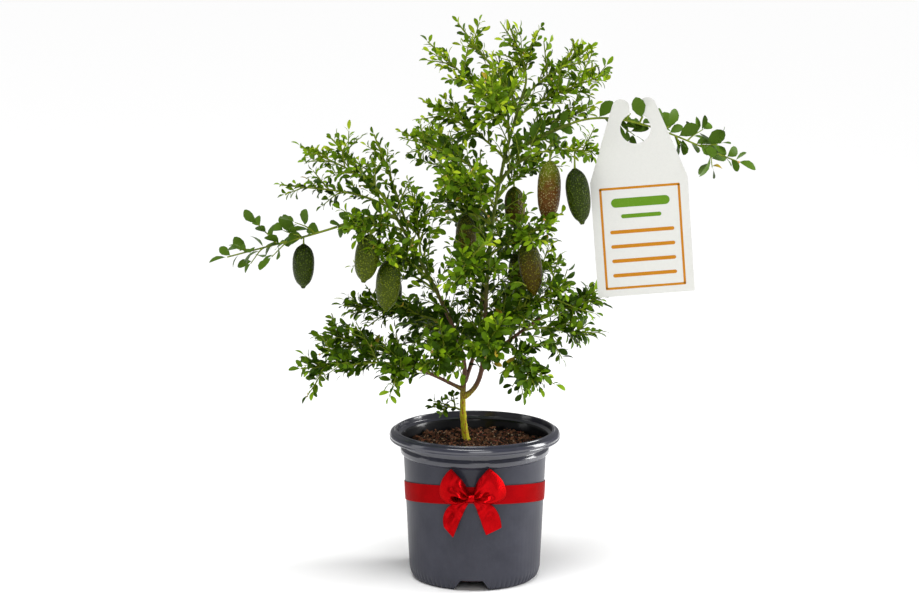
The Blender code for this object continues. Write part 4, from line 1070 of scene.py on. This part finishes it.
def grow(name):
    """Twigs leave the stem by the rule of the coarse model, with finer ones between them."""
    spread, shoot_length = SPRAYS[name][3:]
    stem = stems[name]
    slender = name in SLENDER
    rule = random.Random(name)
    chance = random.Random(name + " fine")
    steps = max(6, round(stem.length / 6))
    tip, tangent = stem.at(1)
    line = stem.points(steps) + [tip + tangent * share * shoot_length for share in (0.35, 0.7)]
    dress(name, line, [stem.thickness(step / steps) * 0.92 for step in range(steps + 3)], 0.12, 0.35, chance)
    count = max(3, round(stem.length / TWIG_SPACING))
    phase = rule.uniform(0, 2 * math.pi)
    for index in range(count):
        t = 0.16 + 0.78 * (index + 0.5) / count
        place, tangent = stem.at(t)
        side = side_direction(tangent, phase + index * GOLDEN_ANGLE)
        lean = math.radians(rule.uniform(44, 62))
        heading = (tangent * math.cos(lean) + side * math.sin(lean) + UP * 0.22).normalized()
        reach = spread * (1.05 - 0.55 * t) * rule.uniform(0.8, 1.1) * (0.74 if slender else 1)
        facing = rule.uniform(-0.5, 0.5)
        for _ in range(3):
            whole = heading * reach + UP * 0.06 * reach
            checks = [place + whole * share for share in (0.25, 0.5, 0.75, 1.0)]
            if reach > 0.35 * spread and space.holds(name, checks).all():
                twig(name, place, heading, reach, facing, 0.25 + 0.4 * t, rule, chance)
                break
            reach *= 0.75
        if name in ARM_LEAF_STEPS:
            continue
        swings = (3.2,) if slender else (1.1, 2.3, 3.5, 4.7) if place.z < LOW_SPRAYS else (1.4, 2.9, 4.4)
        for swing in swings:
            between, tangent = stem.at(min(1.0, t + 0.78 * swing / 5.8 / count))
            side = side_direction(tangent, phase + index * GOLDEN_ANGLE + swing)
            heading = (tangent * chance.uniform(0.7, 1.1) + side * 0.62 + UP * 0.1).normalized()
            length = (0.55 if slender else 0.8) * spread * (1.1 - 0.6 * t) * chance.uniform(0.6, 1.15)
            shoot(name, between, heading, length, 0.25 + 0.35 * t, chance)


twig_lines = []
spines = []
buds = []
leaves = {kind: [] for kind in ("young", "bright", "middle", "deep", "arm", "turning")}
stems = {name: spray_stem(*sizes) for name, sizes in SPRAYS.items()}
fruits = [Fruit(*sizes) for sizes in FRUITS]
space = Space()
leaf_sizes = {None: LEAF_SIZE}
for name in SPRAYS:
    full = ARM_LEAF_SIZE if name in ARM_LEAF_STEPS else LEAF_SIZE * min(1.0, SPRAYS[name][4] / 23)
    leaf_sizes[name] = full * (1.1 if stems[name].at(1)[0].z < LOW_SPRAYS else 1)
    grow(name)
for name, limb in limbs.items():
    chance = random.Random(name + " shoots")
    arm = name in ("left_arm", "right_arm")
    count = round(limb.length / (ARM_LEAF_GAP if arm else LIMB_SHOOT_GAP))
    for number in range(0 if name == "trunk" else count):
        t = 0.2 + 0.78 * (number + 0.5) / count
        place, tangent = limb.at(t)
        side = side_direction(tangent, number * GOLDEN_ANGLE)
        heading = (tangent * 0.6 + side * 0.8 + UP * 0.15).normalized()
        if arm:
            size = ARM_LEAF_SIZE * chance.uniform(0.5, 0.9)
            face = Vector((chance.uniform(-0.6, 0.6), -0.7, 0.7)).normalized()
            if space.holds(None, [place + heading * size * reach for reach in (0.55, 1.0)]).all():
                leaves["arm"].append((place, heading, face, size))
        else:
            shoot(None, place, heading, chance.uniform(24, 50), 0.15 + 0.4 * t, chance)

# A spur of the right arm comes forward through the tag's hole and carries the card, with one leaf that
# stands in front of the slot.
SPUR_SIDE = 8.6
under = TAG_HOLE + TAG_TURN @ Vector((SPUR_SIDE, 0, math.sqrt(TAG_HOLE_RADIUS ** 2 - SPUR_SIDE ** 2 - 0.1)))
under -= UP * 2.2
spur_root = min(stems["right_arm_spray"].points(80), key=lambda point: (point - under).length)
spur_tip = under + Vector((-1, -5, -0.4))
twig_lines.append(([spur_root, under + Vector((0, 3, -0.3)), under, spur_tip], [1.2, 1.1, 1.1, 1.0]))
leaves["arm"].append((spur_tip + Vector((0.6, 0.3, -1)), Vector((-0.30, -0.08, 0.95)).normalized(),
                      Vector((0, -1, 0.1)), 25))

# The twigs are round green wood, smooth and a little glossy. The spines are their hardened side tips,
# straight and needle sharp, and a few waxy flower buds sit among the leaves.
TWIG_SIDES = 6


def green_wood(name, light, dark):
    """Soft green wood: waxy, with darker streaks along it."""
    return mottled(name, dark, light, {"Scale": 260, "Detail": 3}, Roughness=0.55, Specular_IOR_Level=0.15)


def planted(name, things, shape, surface):
    """One piece of a shape set at many places, each given as its base, its two ways and its size."""
    mesh = new_mesh(name, [base * MM for base, _, _, _ in things])
    turns = []
    for _, along, face, _ in things:
        across = along.cross(face).normalized()
        turns += list(Matrix((across, along, across.cross(along))).transposed().to_quaternion())
    mesh.attributes.new("turn", "QUATERNION", "POINT").data.foreach_set("value", turns)
    sizes = [size * MM for _, _, _, size in things]
    mesh.attributes.new("size", "FLOAT", "POINT").data.foreach_set("value", sizes)
    return grown(name, mesh, planting_tree, Shape=shape, Material=surface)


planting_tree, node, given = geometry_tree("planted", Shape=("Object", None))
turn = node("InputNamedAttribute", {"Name": "turn"}, data_type="QUATERNION")
set_out = node("InstanceOnPoints", {"Points": node("MeshToPoints", {"Mesh": given["Geometry"]}),
    "Instance": node("GeometryNodeObjectInfo", {"Object": given["Shape"]}).outputs["Geometry"],
    "Rotation": turn, "Scale": node("InputNamedAttribute", {"Name": "size"})})
finish_tree(node, given, set_out)

thorn_corners = [(-0.05, 0, -0.03), (0.05, 0, -0.03), (0, 0, 0.06), (0, 1, 0)]
thorn = bpy.data.objects.new("thorn", new_mesh("thorn", thorn_corners, [(0, 3, 1), (1, 3, 2), (2, 3, 0)]))
bud = lump("bud", 0.42, lambda place: Vector((place.x, 0.5 + place.y * 1.25, place.z)))
twig_green = green_wood("green_twig_wood", "#8C9C26", "#4A5A16")
twigs = grown("twigs", wood_lines("twig_lines", twig_lines), wood_tree, Sides=TWIG_SIDES, Relief=0.12 * MM,
              Grain=1.2 * MM, Material=twig_green)
thorns = planted("spines", spines, thorn, green_wood("hardened_spine", "#7C8A3C", "#4A5A22"))
flower_buds = planted("flower_buds", buds, bud, green_wood("waxy_bud", "#D8C07A", "#C88440"))
for piece in (twigs, thorns, flower_buds):
    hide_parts(*SPRAYS)
    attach(piece, "root")

# The leaves are small, leathery and obovate, folded a little along the midrib and curled back at the
# tip. Their colours carry painted shade and light: dark and glossy inside the crown and low down,
# lighter higher up and towards the tips, and thin and yellow-green on the young tips.
LEAF_KINDS = {
    # name: width, fold, curl, colour, roughness
    "young": (0.36, 0.34, 0.14, "#9CB022", 0.50),
    # The bright and deep colours stand in for light and shade in the crown: partly painted light, and painted
    # shade.
    "bright": (0.42, 0.30, 0.20, "#739210", 0.48),
    "middle": (0.48, 0.24, 0.20, "#506E0A", 0.46),
    "deep": (0.54, 0.18, 0.16, "#2E4706", 0.44),
    "arm": (0.62, 0.14, 0.16, "#486419", 0.42),
    "turning": (0.46, 0.30, 0.25, "#A8922C", 0.60),
}
LEAF_OUTLINE = (
    # share along, share of the full breadth
    (0.0, 0.0), (0.10, 0.06), (0.30, 0.60), (0.55, 0.98), (0.78, 0.86), (0.93, 0.46), (1.0, 0.0),
)


def leaf_shape(name, width, fold, curl):
    """A leaf one unit long: two halves that meet at the midrib, narrow at the foot, full past the
    middle and round at the tip."""
    rib, left, right = [], [], []
    for along, breadth in LEAF_OUTLINE:
        lift = 0.06 * math.sin(math.pi * along) - curl * max(0.0, along - 0.45) ** 2
        half = breadth * width / 2
        rib.append((0, along, lift))
        left.append((-half, along, lift + fold * half))
        right.append((half, along, lift + fold * half))
    count = len(rib)
    faces = []
    for side, first in ((0, count), (1, 2 * count - 2)):
        for step in range(count - 1):
            corners = [step, step + 1]
            if step < count - 2:
                corners.append(first + step)
            if step > 0:
                corners.append(first + step - 1)
            faces.append(corners if side else corners[::-1])
    mesh = new_mesh(name, rib + left[1:-1] + right[1:-1], faces)
    mesh.shade_smooth()
    return bpy.data.objects.new(name, mesh)


for kind, (width, fold, curl, shade, roughness) in LEAF_KINDS.items():
    # Waxy leaf skin: one plain colour, a soft gloss, and the faint puckering of oil glands.
    skin, node, shader = new_material("leaf_skin_" + kind, Base_Color=linear(shade), Roughness=roughness,
                                      IOR=1.4, Specular_IOR_Level=0.09)
    place = node("TexCoord").outputs["Object"]
    glands = node("TexNoise", {"Vector": place, "Scale": 900, "Detail": 2})
    feed(shader, {"Normal": node("Bump", {"Height": glands, "Strength": 0.25, "Distance": 0.0003})})
    piece = planted("leaves_" + kind, leaves[kind], leaf_shape("leaf_" + kind, width, fold, curl), skin)
    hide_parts(*SPRAYS)
    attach(piece, "root")

# The fruits are finger limes: long berries with a pebbled, oily skin that ripens from dark green to
# olive brown and dull red. Each hangs by a short stalk and ends in a small nipple.
FRUIT_SIDES = 56
FRUIT_STEPS = 80
FRUIT_KINDS = {
    # name: neck colour, belly colour, colour of the glands with painted glints
    "dark": ("#1C2902", "#283502", "#5A6C1E"),
    "green": ("#2A3A02", "#404C04", "#84921C"),
    "brown": ("#2C3802", "#423602", "#82801C"),
    "red": ("#566208", "#5C3A12", "#B4AA72"),
}


def fruit_skin(name, neck, belly, gland_and_glint):
    """Citrus peel: crowded oil glands that catch the light, with lighter dots on them that are partly their
    own colour and partly painted highlight, over a colour that ripens downwards.
    """
    made, node, shader = new_material(name, Roughness=0.30, Specular_IOR_Level=0.13, IOR=1.46)
    down = node("SeparateXYZ", {0: node("UVMap", uv_map="peel")}).outputs["Y"]
    place = node("TexCoord").outputs["Object"]
    blush = node("TexNoise", {"Vector": place, "Scale": 110, "Detail": 4})
    ripeness = node("Math", {0: blush, 1: 0.7, 2: down}, operation="MULTIPLY_ADD")
    shaded = node("MapRange", {"Value": ripeness, "From Min": 0.45, "From Max": 0.85})
    ground = node("Mix", {0: shaded, 6: linear(neck), 7: linear(belly)}, data_type="RGBA")
    glands = node("TexVoronoi", {"Vector": place, "Scale": 470})
    # The glands are mixed towards a lighter colour: partly their own colour, partly painted glints.
    gland_and_glint_share = node("MapRange", {"Value": glands, "From Min": 0.42, "From Max": 0.10, "To Max": 0.75})
    colour = node("Mix", {0: gland_and_glint_share, 6: ground, 7: linear(gland_and_glint)}, data_type="RGBA")
    pebbles = node("Bump", {"Height": glands, "Strength": 0.9, "Distance": 0.0012}, invert=True)
    feed(shader, {"Base Color": colour, "Normal": pebbles})
    return made


def fruit_shell(fruit):
    """Corners, faces and peel places of one fruit, turned round its own axis."""
    axis = fruit.axis.normalized()
    across = axis.orthogonal().normalized()
    other = axis.cross(across)
    vertices, places = [], []
    for step in range(FRUIT_STEPS + 1):
        t = step / FRUIT_STEPS
        radius = sum(fruit.thickness(t + slip) for slip in (-0.018, -0.009, 0, 0.009, 0.018)) / 5
        for side in range(FRUIT_SIDES):
            angle = 2 * math.pi * side / FRUIT_SIDES
            ribbed = radius * (1 + 0.012 * math.cos(5 * angle + fruit.neck.x) * math.sin(math.pi * t))
            offset = across * math.cos(angle) + other * math.sin(angle)
            vertices.append((fruit.neck + fruit.axis * t + offset * ribbed) * MM)
            places.append((side / FRUIT_SIDES, t))
    top = FRUIT_STEPS * FRUIT_SIDES
    faces = [tuple(range(FRUIT_SIDES))]
    for low in range(0, top, FRUIT_SIDES):
        high = low + FRUIT_SIDES
        for side in range(FRUIT_SIDES):
            after = (side + 1) % FRUIT_SIDES
            faces.append((low + side, high + side, high + after, low + after))
    faces.append(tuple(reversed(range(top, top + FRUIT_SIDES))))
    return vertices, faces, places


peel_tree, node, given = geometry_tree("pebbled_peel", Relief=("Float", 0.3 * MM), Grain=("Float", 1.4 * MM))
finish_rough(node, given, given["Geometry"], (1, 1, 1), 1)
for kind, shades in FRUIT_KINDS.items():
    alike = [fruit for fruit in fruits if fruit.kind == kind]
    base = joined("fruit_base", [fruit_shell(fruit) for fruit in alike], "peel")
    piece = grown("fruits_" + kind, base, peel_tree, Relief=0.35 * MM, Grain=1.5 * MM,
                  Material=fruit_skin("citrus_peel_" + kind, *shades))
    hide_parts(*sorted({fruit.carrier for fruit in alike}))
    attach(piece, "root")
stalk_lines = [(bowed(fruit.spot, fruit.neck + fruit.axis * 0.03, 0, 4), [1.0, 0.9, 0.9, 1.1, 1.5])
               for fruit in fruits]
stalks = grown("fruit_stalks", wood_lines("stalk_lines", stalk_lines), wood_tree, Sides=10, Relief=0.15 * MM,
               Grain=1.2 * MM, Material=twig_green)
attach(stalks, "root")

# The studio: a pale floor under a wide soft overhead light, seen by a long lens from above the rim.
FLOOR_RADIUS = 14
LENS = 122.9
CAMERA_PLACE = (-0.017, -3.4, 0.96)
CAMERA_TARGET = (-0.017, 0, 0.3090)
SKYLIGHT_PLACE = (-0.22, -0.45, 1.75)
SKYLIGHT_STRENGTH = 2.75
SKYLIGHT_SPREAD = math.radians(34)
ROOM_LIGHT = 0.24
SIDE_LIGHTS = (
    # name, place, width, height, watts
    ("left_panel", (-1.5, -0.1, 0.7), 0.5, 1.3, 3),
    ("right_panel", (1.5, 0.2, 0.7), 0.5, 1.3, 25),
    ("front_panel", (0.3, -2.2, 1.3), 1.2, 1.0, 13),
)


def aim(name, data, place, target):
    """Puts a light or camera in its place, turned towards a point."""
    made = in_scene(name, data)
    made.location = place
    made.rotation_euler = (Vector(target) - Vector(place)).to_track_quat("-Z", "Y").to_euler()
    return made


# Matt white studio paint, to catch a clean soft shadow.
floor_paint = new_material("pale_studio_floor", Base_Color=linear("#FFFFFF"), Roughness=0.6)[0]
corners = [(FLOOR_RADIUS * x, FLOOR_RADIUS * y, 0) for x, y in ((-1, -1), (1, -1), (1, 1), (-1, 1))]
floor = in_scene("studio_floor", new_mesh("studio_floor", corners, [(0, 1, 2, 3)]), floor_paint)

skylight = bpy.data.lights.new("skylight", "SUN")
skylight.energy = SKYLIGHT_STRENGTH
skylight.angle = SKYLIGHT_SPREAD
aim("skylight", skylight, SKYLIGHT_PLACE, (0, 0, 0))
for name, place, width, height, watts in SIDE_LIGHTS:
    panel = bpy.data.lights.new(name, "AREA")
    panel.shape = "RECTANGLE"
    panel.size = width
    panel.size_y = height
    panel.energy = watts
    aim(name, panel, place, (0, 0, 0.25))
world = bpy.data.worlds.new("soft_white_room")
world.use_nodes = True
feed(world.node_tree.nodes["Background"], {"Color": (1, 1, 1, 1), "Strength": ROOM_LIGHT})
bpy.context.scene.world = world
bpy.context.scene.view_settings.view_transform = "Standard"

camera = bpy.data.cameras.new("camera")
camera.lens = LENS
bpy.context.scene.camera = aim("camera", camera, CAMERA_PLACE, CAMERA_TARGET)
